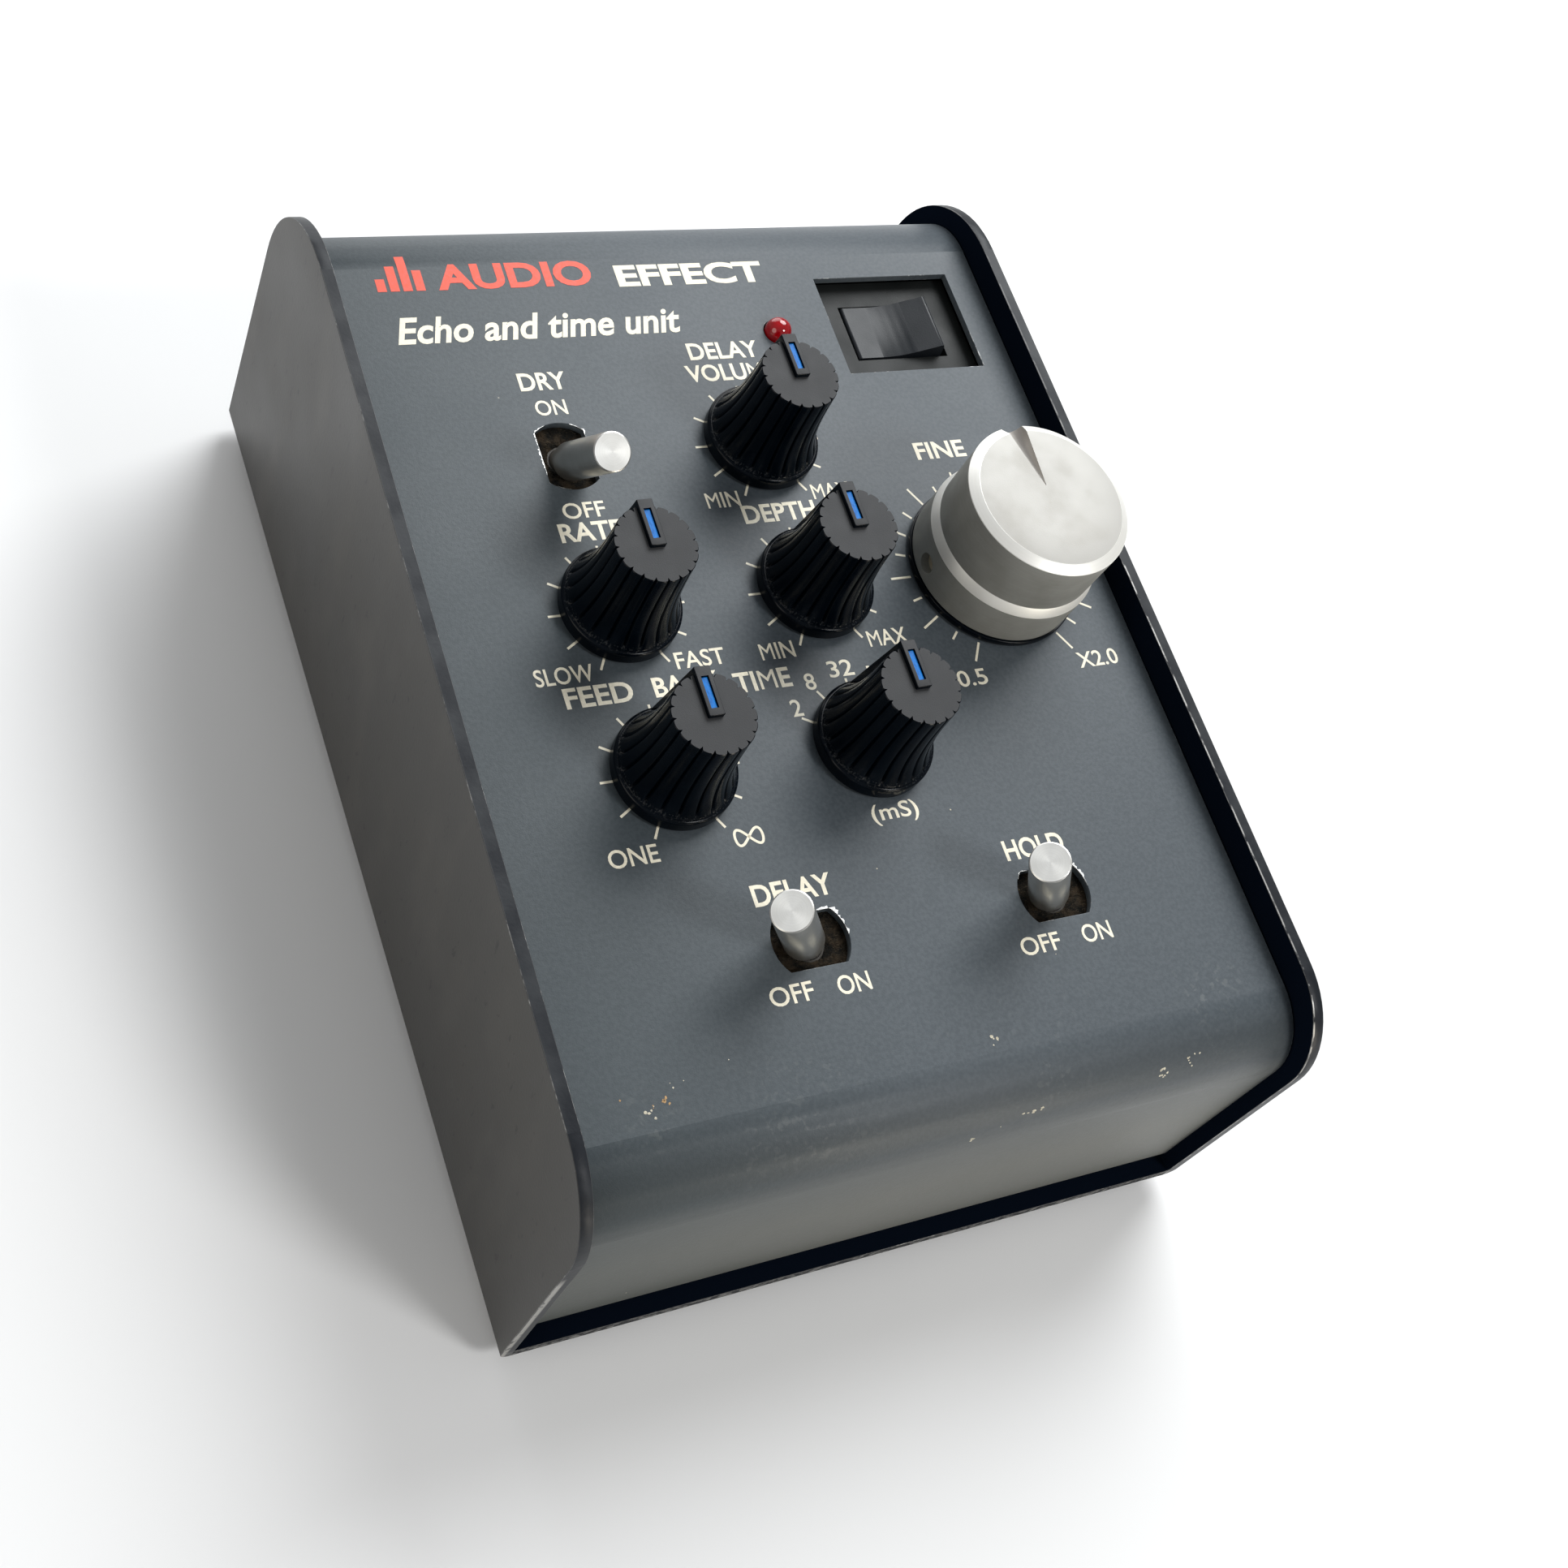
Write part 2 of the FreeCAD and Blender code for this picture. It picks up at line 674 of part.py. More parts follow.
def dial():
    """Big turned aluminium knob on its black base ring, with notch, set screw and shaft."""
    place = on_panel(*DIAL)
    wide = dim("dial_radius")
    upper = dim("dial_upper_radius")
    top = dim("dial_top")
    bore = dim("shaft_radius")
    bore_top = top - 4.0
    profile = [(bore, 1.4), (wide, 1.4), (wide, 7.9), (upper, 9.4), (upper, top - 0.8),
               (upper - 1.4, top), (0, top), (0, bore_top), (bore, bore_top)]
    blank = turned(profile, place)
    notch_place = on_panel(*DIAL, top, DIAL_SET) * Placement(
        Vector(0, NOTCH_START, 0), Rotation(Vector(1, 0, 0), -90 - NOTCH_DIP))
    notch = solid("Cone", notch_place, Radius1=0.1, Radius2=14.0 * NOTCH_SPREAD, Height=14.0)
    sideways = Placement(Vector(0, 0, 0), Rotation(Vector(0, 1, 0), 90))
    hole_place = on_panel(*DIAL, DIAL_HOLE_HEIGHT, DIAL_HOLE_TURN) * sideways
    hole = cylinder(hole_place, 1.5, 20.0)
    keep("fine_knob", cut(blank, notch, hole))
    keep("fine_knob_base_ring", turned([(bore, 0.4), (wide + 0.3, 0.4), (wide + 0.3, 1.4), (bore, 1.4)],
                                       place))
    screw_place = hole_place * Placement(Vector(0, 0, bore), Rotation())
    grub = cylinder(screw_place, 1.5, GRUB_LENGTH)
    key = hexagon(screw_place * Placement(Vector(0, 0, GRUB_LENGTH - 2.0), Rotation()), 1.5, 3.0)
    keep("fine_knob_set_screw", cut(grub, key))
    shaft_low = PLATE_BACK - 2.7
    keep("fine_shaft", cylinder(on_panel(*DIAL, shaft_low), "dims.shaft_radius", bore_top - shaft_low))


def toggle(name, across, up, turn):
    """Toggle switch body with its bushing, and the lever leaning to its off side."""
    pivot = -dim("pivot_drop")
    case = block(on_panel(across, up, PLATE_BACK - 10.0, turn), 13.0, 8.0, 10.0)
    bushing = cylinder(on_panel(across, up, PLATE_BACK), "dims.toggle_bushing",
                       pivot + 0.3 - PLATE_BACK)
    pins = [cylinder(on_panel(across, up, -dim("control_board_drop")) * Placement(
        Rotation(Vector(0, 0, 1), turn).multVec(Vector(4.7 * number, 0, 0)), Rotation()), 0.6, 3.0)
        for number in (-1, 0, 1)]
    socket = solid("Sphere", on_panel(across, up, pivot), Radius="dims.ball_radius + dims.running_gap")
    keep(name + "_toggle_switch", cut(fuse(case, bushing, *pins), socket))

    ball = dim("ball_radius")
    neck = dim("neck_radius")
    start = dim("lever_start")
    end = dim("lever_length")
    radius = dim("lever_radius")
    meet = math.sqrt(ball ** 2 - neck ** 2)
    profile = [
        Part.Arc(Vector(0, -ball, 0), Vector(ball, 0, 0), Vector(neck, meet, 0)),
        Part.LineSegment(Vector(neck, meet, 0), Vector(neck, start, 0)),
        Part.LineSegment(Vector(neck, start, 0), Vector(radius, start, 0)),
        Part.LineSegment(Vector(radius, start, 0), Vector(radius, end - 0.2, 0)),
        Part.LineSegment(Vector(radius, end - 0.2, 0), Vector(radius - 0.2, end, 0)),
        Part.LineSegment(Vector(radius - 0.2, end, 0), Vector(0, end, 0)),
        Part.LineSegment(Vector(0, end, 0), Vector(0, -ball, 0)),
    ]
    lean = Placement(Vector(0, 0, 0), Rotation(Vector(0, 1, 0), -dim("toggle_tilt")))
    keep(name + "_toggle_lever", turned(profile, on_panel(across, up, pivot, turn) * lean))


BUSHING_ROOM = 0.1


def toggles():
    """Three toggle switches, their nuts and the felt dust pads under the slots."""
    nuts = []
    pads = []
    for name, (across, up, turn) in TOGGLES.items():
        toggle(name, across, up, turn)
        place = on_panel(across, up, PLATE_FACE)
        nuts.append(cut(hexagon(place, 8.0, 1.6), cylinder(place, "dims.toggle_bushing", 5.0)))
        pad_low = -dim("shell_sheet") - dim("pad_sheet")
        pad_place = on_panel(across, up, pad_low, turn)
        felt = block(pad_place, dim("pad_length"), dim("pad_width"), dim("pad_sheet"))
        over_bushing = 0.3 - dim("pivot_drop") - pad_low + BUSHING_ROOM
        seat = cylinder(pad_place, dim("toggle_bushing") + BUSHING_ROOM, over_bushing)
        pads.append(cut(felt, seat, cylinder(pad_place, "dims.pad_opening", 5.0)))
    group("toggle_nuts", nuts)
    group("felt_dust_pads", pads)


ROCKER_KEEL = 1.5
ROCKER_ROUNDS = [0.4, 0.5, 18.0, 0.5, 0.4]


def rocker_switch():
    """Power rocker: housing with bezel and blades, and the tilting cap on its pins."""
    bezel = -dim("bezel_drop")
    tilt = math.radians(dim("rocker_tilt"))
    rise = dim("rocker_rise")
    pivot = bezel + 0.15 - rise * math.cos(tilt)
    flange = block(on_panel(*ROCKER, PLATE_FACE), 25.4, 19.2, bezel - PLATE_FACE)
    case = block(on_panel(*ROCKER, PLATE_FACE - 13.0), 20.0, 13.0, 13.0)
    cavity = block(on_panel(*ROCKER, pivot - 4.0), dim("opening_length"), dim("opening_width"), 12.0)
    pin_place = on_panel(ROCKER[0], ROCKER[1] + 6.0, pivot) * Placement(
        Vector(0, 0, 0), Rotation(Vector(1, 0, 0), 90))
    pin_holes = cylinder(pin_place, "1.2 + dims.running_gap", 12.0)
    blades = [block(on_panel(ROCKER[0] + 6.0 * side, ROCKER[1], PLATE_FACE - 20.0), 0.8, 4.8, 7.0)
              for side in (-1, 1)]
    keep("rocker_housing", cut(fuse(flange, case, *blades), cavity, pin_holes))

    half = dim("rocker_half")
    end_height = rise + half * math.tan(tilt)
    keel = -ROCKER_KEEL
    side = [(0, keel), (half, keel), (half, end_height), (0, rise), (-half, end_height), (-half, keel),
            (0, keel)]
    path = rounded([Vector(x, z, 0) for x, z in side], ROCKER_ROUNDS)
    lean = Placement(Vector(0, 0, 0), Rotation(Vector(0, 1, 0), -dim("rocker_tilt")))
    place = on_panel(*ROCKER, pivot) * lean
    cap = padded("XZ_Plane", path, "dims.rocker_width", place)
    short = Placement(Vector(0, 5.9, 0), Rotation(Vector(1, 0, 0), 90))
    keep("rocker_cap", fuse(cap, cylinder(place * short, 1.2, 11.8)))


# ---------------------------------------------------------------- rear sockets
def sockets():
    """Two quarter-inch sockets and the power inlet behind the rear face."""
    wall = dim("shell_sheet")
    nuts = []
    washers = []
    for name, across in SOCKETS.items():
        case = block(on_rear(across, -wall - 24.0), 17.0, 15.0, 24.0)
        bushing = cylinder(on_rear(across, -wall), 4.7, wall + 3.9)
        bore = cylinder(on_rear(across, -wall - 22.0), "dims.socket_radius", 40.0)
        keep(name + "_socket", cut(fuse(case, bushing), bore))
        place = on_rear(across, 0)
        washers.append(cut(cylinder(place, 7.2, 0.8), cylinder(place, 4.7, 5.0)))
        nut_place = on_rear(across, 0.8)
        nuts.append(cut(hexagon(nut_place, 12.7, 2.2), cylinder(nut_place, 4.7, 5.0)))
    group("socket_nuts", nuts)
    group("socket_washers", washers)

    case = block(on_rear(INLET_ACROSS, -wall - 14.0), 12.0, 12.0, 14.0)
    bushing = cylinder(on_rear(INLET_ACROSS, -wall), 4.0, wall + 1.5)
    flange = cylinder(on_rear(INLET_ACROSS, 0), 5.6, 1.5)
    bore = cylinder(on_rear(INLET_ACROSS, -wall - 12.0), "dims.inlet_radius", 30.0)
    keep("power_inlet", cut(fuse(case, bushing, flange), bore))


# ---------------------------------------------------------------- build and write
def build():
    base_chassis()
    top_shell()
    feet()
    bottom_screws()
    over_main = main_board()
    control_plate()
    inner_screws(over_main)
    pots()
    control_board()
    headers(over_main)
    ribbon_cable(over_main)
    lamp()
    for name, (across, up) in SMALL_KNOBS.items():
        small_knob(name, across, up)
    dial()
    toggles()
    rocker_switch()
    sockets()
    doc.recompute()


def check():
    """Every object recomputed, every sub-part one or more valid solids."""
    for obj in doc.Objects:
        if "Invalid" in obj.State or "Error" in obj.State:
            raise RuntimeError(f"{obj.Name} ({obj.Label}) failed: {obj.State}")
    for label, obj in NODES.items():
        shape = obj.Shape
        if shape.isNull() or not shape.isValid() or not shape.Solids:
            raise RuntimeError(f"{label} has no valid solid")


def write():
    os.makedirs("parts", exist_ok=True)
    for label, obj in NODES.items():
        obj.Shape.exportStep(f"parts/{label}.step")
        print(f"{label:28s} {len(obj.Shape.Solids):2d} solid(s) {obj.Shape.Volume:10.1f} mm3")


build()
check()
write()
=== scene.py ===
"""Looks of the desktop delay unit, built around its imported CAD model."""

import json
import math
import random

import bmesh
import bpy
from mathutils import Euler, Matrix, Vector
from mathutils.bvhtree import BVHTree


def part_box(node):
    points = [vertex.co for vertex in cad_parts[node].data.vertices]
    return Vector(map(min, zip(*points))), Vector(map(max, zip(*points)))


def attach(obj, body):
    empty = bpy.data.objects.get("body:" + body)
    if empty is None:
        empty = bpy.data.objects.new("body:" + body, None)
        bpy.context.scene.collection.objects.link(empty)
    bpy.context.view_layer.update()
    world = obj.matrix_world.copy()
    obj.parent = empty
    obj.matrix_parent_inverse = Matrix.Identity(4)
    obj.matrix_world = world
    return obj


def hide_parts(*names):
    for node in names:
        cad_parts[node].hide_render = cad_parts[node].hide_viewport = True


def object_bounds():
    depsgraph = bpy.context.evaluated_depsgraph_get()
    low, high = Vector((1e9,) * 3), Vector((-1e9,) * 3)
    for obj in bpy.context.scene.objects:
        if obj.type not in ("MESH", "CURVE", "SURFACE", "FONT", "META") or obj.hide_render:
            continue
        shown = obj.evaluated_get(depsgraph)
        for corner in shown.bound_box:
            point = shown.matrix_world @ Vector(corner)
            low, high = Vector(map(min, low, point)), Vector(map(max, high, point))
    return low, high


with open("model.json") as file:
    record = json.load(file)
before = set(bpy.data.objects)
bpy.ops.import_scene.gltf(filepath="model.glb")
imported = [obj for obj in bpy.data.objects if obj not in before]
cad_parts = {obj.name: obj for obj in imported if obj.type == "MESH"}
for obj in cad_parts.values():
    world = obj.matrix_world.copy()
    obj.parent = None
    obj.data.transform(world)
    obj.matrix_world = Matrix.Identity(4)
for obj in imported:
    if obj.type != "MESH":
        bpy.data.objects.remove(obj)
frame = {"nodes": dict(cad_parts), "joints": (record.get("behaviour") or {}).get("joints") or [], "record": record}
cad_low, cad_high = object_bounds()

MM = 0.001
NODES = frame["nodes"]
JOINTS = {joint["name"]: joint for joint in frame["joints"]}

# ---- the sloping panel's own frame
ACROSS = Vector((1, 0, 0))
ALONG = Vector(JOINTS["rocker_tilt"]["axis"]).normalized()
OUT = Vector(JOINTS["rate_turn"]["axis"]).normalized()
SLOPE = math.asin(ALONG.z)
first_axis = Vector(JOINTS["rate_turn"]["pos_m"])
PANEL_ORIGIN = Vector((0, first_axis.y, first_axis.z))


def axes_matrix(origin, across, up, out):
    """Matrix of a place whose own X, Y and Z run along the three directions."""
    turn = Matrix((across, up, out)).transposed().to_4x4()
    return Matrix.Translation(origin) @ turn


def on_panel(across, up, out=0.0):
    """Place on the panel, from millimetres across, up the slope and out of it."""
    origin = PANEL_ORIGIN + (ACROSS * across + ALONG * up + OUT * out) * MM
    return axes_matrix(origin, ACROSS, ALONG, OUT)


def joint_spot(name):
    """Millimetres across and up the slope of a joint on the panel."""
    away = Vector(JOINTS[name]["pos_m"]) - PANEL_ORIGIN
    return away.x / MM, away.dot(ALONG) / MM


KNOBS = {name: joint_spot(name + "_turn") for name in ("rate", "feedback", "delay_volume", "depth", "time")}
DIAL = joint_spot("fine_turn")
TOGGLES = {name: joint_spot(name + "_throw") for name in ("dry", "delay", "hold")}
SLOT_TURNS = {"dry": 90.0, "delay": 0.0, "hold": 0.0}


# ---- finishes
USUAL_NOISE = (0.3, 0.7)


class Finish:
    """A Principled material, with short ways to add the nodes that vary it over the surface."""

    def __init__(self, name, metallic=0.0, uniform=None):
        self.material = bpy.data.materials.new(name)
        self.material.use_nodes = True
        self.tree = self.material.node_tree
        self.shader = self.tree.nodes["Principled BSDF"]
        for socket, value in {"Metallic": metallic, **(uniform or {})}.items():
            self.shader.inputs[socket].default_value = value

    def node(self, kind, values, **settings):
        """Outputs of a new node, whose sockets get values or links."""
        made = self.tree.nodes.new("ShaderNode" + kind)
        for setting, value in settings.items():
            setattr(made, setting, value)
        for socket, value in values.items():
            if isinstance(value, bpy.types.NodeSocket):
                self.tree.links.new(value, made.inputs[socket])
            else:
                made.inputs[socket].default_value = value
        return made.outputs

    def spot(self, stretch=(1, 1, 1), on_slope=False):
        """Object coordinates in millimetres, on the slope's own axes if asked."""
        mapping = {"Vector": self.node("TexCoord", {})["Object"], "Scale": [s / MM for s in stretch]}
        if on_slope:
            turn = Matrix.Rotation(-SLOPE, 3, "X")
            mapping.update({"Location": -(turn @ PANEL_ORIGIN) / MM, "Rotation": (-SLOPE, 0, 0)})
        return self.node("Mapping", mapping)["Vector"]

    def part(self, vector, axis):
        return self.node("SeparateXYZ", {"Vector": vector})[axis]

    def noise(self, size, detail=3.0, stretch=(1, 1, 1), on_slope=False, distortion=0.0):
        """Soft noise from 0 to 1 whose blotches are about size millimetres wide."""
        return self.node("TexNoise", {"Vector": self.spot(stretch, on_slope), "Scale": 1 / size,
                                      "Detail": detail, "Distortion": distortion})["Fac"]

    def cells(self, size):
        """Distance to the nearest cell centre, and that cell's own random number."""
        made = self.node("TexVoronoi", {"Vector": self.spot(), "Scale": 1 / size})
        return made["Distance"], self.part(made["Color"], "X")

    def between(self, value, low, high, start=0.0, end=1.0):
        """value spread from low..high to start..end, and held there outside."""
        return self.node("MapRange", {"Value": value, "From Min": low, "From Max": high,
                                      "To Min": start, "To Max": end})["Result"]

    def vary(self, noise, start=0.0, end=1.0):
        """start to end over the usual range of a noise."""
        return self.between(noise, *USUAL_NOISE, start, end)

    def math(self, operation, first, *others):
        """Numbers joined one after another by a Math node's operation."""
        for other in others:
            first = self.node("Math", {0: first, 1: other}, operation=operation)["Value"]
        return first

    def times(self, *values):
        return self.math("MULTIPLY", *values)

    def band(self, value, low, full, ending, high):
        """1 from full to ending, fading to 0 at low and at high."""
        return self.times(self.between(value, low, full), self.between(value, ending, high, 1.0, 0.0))

    def mix(self, share, first, second):
        """Colour between two colours."""
        first, second = [(*c, 1.0) if isinstance(c, tuple) else c for c in (first, second)]
        return self.node("Mix", {0: share, 6: first, 7: second}, data_type="RGBA")[2]

    def use(self, socket, output):
        self.tree.links.new(output, self.shader.inputs[socket])

    def done(self, color, roughness, height, depth):
        """The material, with its colour, its roughness and a relief of up to depth millimetres."""
        bump = self.node("Bump", {"Height": height, "Distance": depth * MM, "Strength": 1.0})
        self.use("Base Color", color)
        self.use("Roughness", roughness)
        self.use("Normal", bump["Normal"])
        return self.material


def blotched(name, dark, light, roughness, blotch, grain, depth=0.02, metallic=0.0, spread=0.08,
             specular=0.5):
    """Plain finish with soft blotches, a fine grain and an uneven gloss."""
    finish = Finish(name, metallic, {"Specular IOR Level": specular})
    large = finish.noise(blotch, 4.0)
    fine = finish.noise(grain, 2.0)
    share = finish.math("ADD", finish.vary(large, 0.0, 0.7), finish.vary(fine, 0.0, 0.3))
    rough = finish.between(large, 0.25, 0.75, roughness - spread, roughness + spread)
    return finish.done(finish.mix(share, dark, light), rough, fine, depth)


PANEL_SLATE = ((0.058, 0.071, 0.082), (0.082, 0.097, 0.110))
# painted shade along the front bend
BEND_PAINTED_SHADE = (0.026, 0.032, 0.036)
# painted warm light on the front face
FRONT_PAINTED_LIGHT = (0.146, 0.142, 0.118)
# painted shade on the left of the panel
LEFT_PAINTED_SHADE = (0.034, 0.046, 0.048)
SCUFF = (0.26, 0.27, 0.26)
CHIP_CREAM = (0.62, 0.56, 0.44)
BARE_STEEL = (0.55, 0.55, 0.54)
# millimetres up the slope, and across for the painted shade on the left
SCUFF_REACH = (-78.0, -75.0, -68.0, -62.0)
# reach of the painted shade along the front bend
BEND_SHADE_REACH = (-80.5, -77.0, -74.0, -69.0)
# reach of the painted warm light on the front face
FRONT_LIGHT_REACH = (-80.0, -77.5)
LEFT_SHADE_REACH = (-52.0, -5.0)
STROKE_SIZE = 1 / 0.9


def slate_paint():
    """Fine-textured matt slate paint, scuffed at the front bend, with painted shade along the bend and on the
    left, and painted warm light on the front face.
    """
    finish = Finish("slate_paint", uniform={"Specular IOR Level": 0.36})
    large = finish.noise(38.0, 4.0)
    grain = finish.noise(0.55, 3.0)
    pores = finish.noise(0.16, 2.0)
    soft = finish.math("ADD", finish.vary(large, 0.0, 0.4), finish.between(grain, 0.38, 0.62, 0.0, 0.6))
    color = finish.mix(soft, *PANEL_SLATE)

    up = finish.part(finish.spot(on_slope=True), "Y")
    across = finish.part(finish.spot(), "X")
    strokes = finish.noise(STROKE_SIZE, 2.0, on_slope=True, distortion=0.4)
    where = finish.noise(16.0, 2.0)
    scuffed = finish.times(finish.between(strokes, 0.56, 0.66), finish.between(where, 0.46, 0.6),
                           finish.band(up, *SCUFF_REACH))
    color = finish.mix(finish.times(scuffed, 0.22), color, SCUFF)
    # painted shade: a dark band along the front bend
    color = finish.mix(finish.times(finish.band(up, *BEND_SHADE_REACH), 0.5), color, BEND_PAINTED_SHADE)
    # painted warm light on the front face
    color = finish.mix(finish.between(up, *FRONT_LIGHT_REACH, 0.55, 0.0), color, FRONT_PAINTED_LIGHT)
    # painted shade darkening the panel towards the left
    color = finish.mix(finish.between(across, *LEFT_SHADE_REACH, 0.45, 0.0), color, LEFT_PAINTED_SHADE)

    distance, number = finish.cells(5.5)
    speck = finish.times(finish.between(distance, 0.018, 0.03, 1.0, 0.0), finish.between(number, 0.9, 0.92))
    color = finish.mix(finish.times(speck, 0.4), color, CHIP_CREAM)
    rough = finish.math("ADD", finish.vary(large, 0.44, 0.54), finish.times(scuffed, -0.08))
    height = finish.math("ADD", finish.times(grain, 0.6), finish.times(pores, 0.4))
    return finish.done(color, rough, height, 0.035)


SHEET = 1.8
OUTSIDE = cad_high.x / MM
INSIDE = OUTSIDE - SHEET
FRONT = cad_low.y / MM
LEFT = cad_low.x / MM
RIM = (OUTSIDE - 0.16, OUTSIDE - 0.04)
INNER_LINE = (INSIDE + 0.03, INSIDE + 0.05, INSIDE + 0.2, INSIDE + 0.34)
UPRIGHT = (1, 0.8, 0.3)


def black_paint():
    """Satin black paint with upright dark flecks and dusty streaks.

    The cheeks' rims are darker. Painted shade makes their inner walls and the base between them nearly black and
    takes away their gloss. The right cheek has a rubbed line along its inner edge, and the front edges are bare on
    the left and specked along the sill.
    """
    finish = Finish("black_paint")
    place = finish.spot()
    across, along, height = [finish.part(place, axis) for axis in "XYZ"]
    dust = finish.noise(30.0, 4.0)
    flecks = finish.noise(0.95, 3.0, UPRIGHT, distortion=0.3)
    streaks = finish.noise(6.0, 3.0, UPRIGHT)
    color = finish.mix(finish.vary(dust), (0.029, 0.028, 0.0255), (0.046, 0.044, 0.039))
    color = finish.mix(finish.between(flecks, 0.66, 0.72, 0.0, 0.7), color, (0.006, 0.006, 0.007))
    color = finish.mix(finish.between(streaks, 0.5, 0.72, 0.0, 0.5), color, (0.060, 0.056, 0.049))

    away = finish.math("ABSOLUTE", across, 0.0)
    rim = finish.mix(finish.between(streaks, 0.4, 0.6), (0.012, 0.014, 0.018), (0.030, 0.033, 0.037))
    color = finish.mix(finish.between(away, *RIM), rim, color)
    # painted shade: the cheeks' inner walls and the base between them nearly black, with their gloss taken away
    outside = finish.between(away, INSIDE + 0.02, INSIDE + 0.07)
    color = finish.mix(outside, (0.003, 0.0055, 0.011), color)
    finish.use("Specular IOR Level", finish.times(outside, finish.between(away, *RIM, 0.16, 0.42)))

    right = finish.between(across, 0.0, 1.0)
    nearer = finish.between(along, 32.0, 2.0, 0.25, 1.0)
    rubbed = finish.between(finish.noise(2.4, 4.0), 0.44, 0.54)
    inner_line = finish.times(finish.band(away, *INNER_LINE), right, nearer, rubbed)
    bits = finish.noise(1.1, 3.0)
    front = finish.between(along, FRONT + 0.15, FRONT + 0.05)
    left = finish.between(across, LEFT + 0.9, LEFT + 0.6)
    worn = finish.times(front, left, finish.between(height, 36.0, 33.0), finish.between(bits, 0.34, 0.44))
    sill = finish.times(front, finish.between(height, 5.2, 4.6), finish.between(bits, 0.45, 0.7, 0.1, 0.5))
    bare = finish.math("MAXIMUM", worn, sill, inner_line)
    finish.use("Metallic", finish.times(bare, 0.6))
    color = finish.mix(bare, color, (0.36, 0.355, 0.34))
    return finish.done(color, finish.vary(dust, 0.36, 0.5), finish.noise(0.5, 3.0), 0.02)


def worn_edge(name, paint, wear_low, wear_high, bare=BARE_STEEL):
    """Paint rubbed through to bright steel in patches, for the rounded edges of a sheet."""
    finish = Finish(name)
    patches = finish.noise(7.0, 4.0)
    bits = finish.noise(0.8, 3.0)
    both = finish.math("ADD", finish.times(patches, 0.6), finish.times(bits, 0.4))
    share = finish.between(both, wear_low, wear_high)
    finish.use("Metallic", finish.times(share, 0.7))
    return finish.done(finish.mix(share, paint, bare), finish.vary(bits, 0.32, 0.5), bits, 0.03)


SKIRT_TOP = 2.8


def knob_gloss():
    """Glossy black moulding with pale dust where the flutes end on the skirt."""
    finish = Finish("knob_gloss", uniform={"Specular IOR Level": 0.12})
    haze = finish.noise(4.0, 4.0)
    color = finish.mix(finish.between(haze, 0.35, 0.7), (0.0006, 0.0018, 0.0036), (0.0018, 0.0036, 0.0064))
    height = finish.part(finish.spot(), "Z")
    ledge = finish.band(height, SKIRT_TOP - 0.25, SKIRT_TOP, SKIRT_TOP + 0.2, SKIRT_TOP + 0.7)
    dust = finish.times(ledge, finish.between(finish.noise(0.35, 2.0), 0.56, 0.66))
    color = finish.mix(finish.times(dust, 0.08), color, (0.30, 0.31, 0.31))
    rough = finish.math("ADD", finish.vary(haze, 0.14, 0.26), finish.times(dust, 0.4))
    return finish.done(color, rough, finish.noise(0.9, 2.0), 0.006)


def blue_inlay():
    """Blue plastic with faint streaks along the strip."""
    finish = Finish("blue_inlay", uniform={"Specular IOR Level": 0.12})
    streak = finish.noise(0.8, 3.0, stretch=(1, 0.4, 1))
    color = finish.mix(finish.between(streak, 0.35, 0.65), (0.0, 0.105, 0.40), (0.0, 0.20, 0.66))
    return finish.done(color, finish.vary(streak, 0.22, 0.36), finish.noise(0.3), 0.02)


def turned_metal(name, dark, light, roughness, anisotropy, metallic, ring_size=0.22):
    """Metal turned on a lathe about its own Z: fine rings, and gloss drawn out along them."""
    finish = Finish(name, metallic, {"Anisotropic": anisotropy})
    finish.use("Tangent", finish.node("Tangent", {}, direction_type="RADIAL", axis="Z")["Tangent"])
    place = finish.spot()
    flat = finish.node("VectorMath", {0: place, 1: (1, 1, 0)}, operation="MULTIPLY")["Vector"]
    radius = finish.node("VectorMath", {0: flat}, operation="LENGTH")["Value"]
    way = finish.node("CombineXYZ", {"X": radius, "Y": finish.part(place, "Z"), "Z": 0.0})["Vector"]
    rings = finish.node("TexNoise", {"Vector": way, "Scale": 1 / ring_size, "Detail": 3.0})["Fac"]
    stains = finish.noise(5.0, 5.0)
    share = finish.math("ADD", finish.between(stains, 0.3, 0.65, 0.0, 0.7), finish.vary(rings, 0.0, 0.3))
    rough = finish.vary(stains, roughness + 0.05, roughness - 0.04)
    return finish.done(finish.mix(share, dark, light), rough, rings, 0.004)


def blasted_metal():
    """Pale bead-blasted top of the big knob, a little stained by use."""
    finish = Finish("blasted_metal", 0.4)
    stains = finish.noise(5.5, 4.0)
    marks = finish.noise(1.2, 3.0)
    stained = finish.between(stains, 0.5, 0.78, 0.0, 0.6)
    color = finish.mix(stained, (0.475, 0.465, 0.438), (0.415, 0.397, 0.36))
    color = finish.mix(finish.between(marks, 0.68, 0.76, 0.0, 0.25), color, (0.40, 0.36, 0.30))
    return finish.done(color, finish.vary(stains, 0.56, 0.66), finish.noise(0.16, 2.0), 0.012)


def red_lens():
    """Clear-coated red lamp lens."""
    finish = Finish("red_lens", uniform={
        "Coat Weight": 0.5, "Coat Roughness": 0.03, "Subsurface Weight": 0.3,
        "Subsurface Radius": (0.004, 0.0004, 0.0004), "Subsurface Scale": 1.0})
    swirl = finish.noise(1.2, 2.0)
    color = finish.mix(finish.vary(swirl), (0.26, 0.0, 0.002), (0.36, 0.0, 0.004))
    return finish.done(color, finish.vary(swirl, 0.04, 0.09), finish.noise(0.7), 0.004)


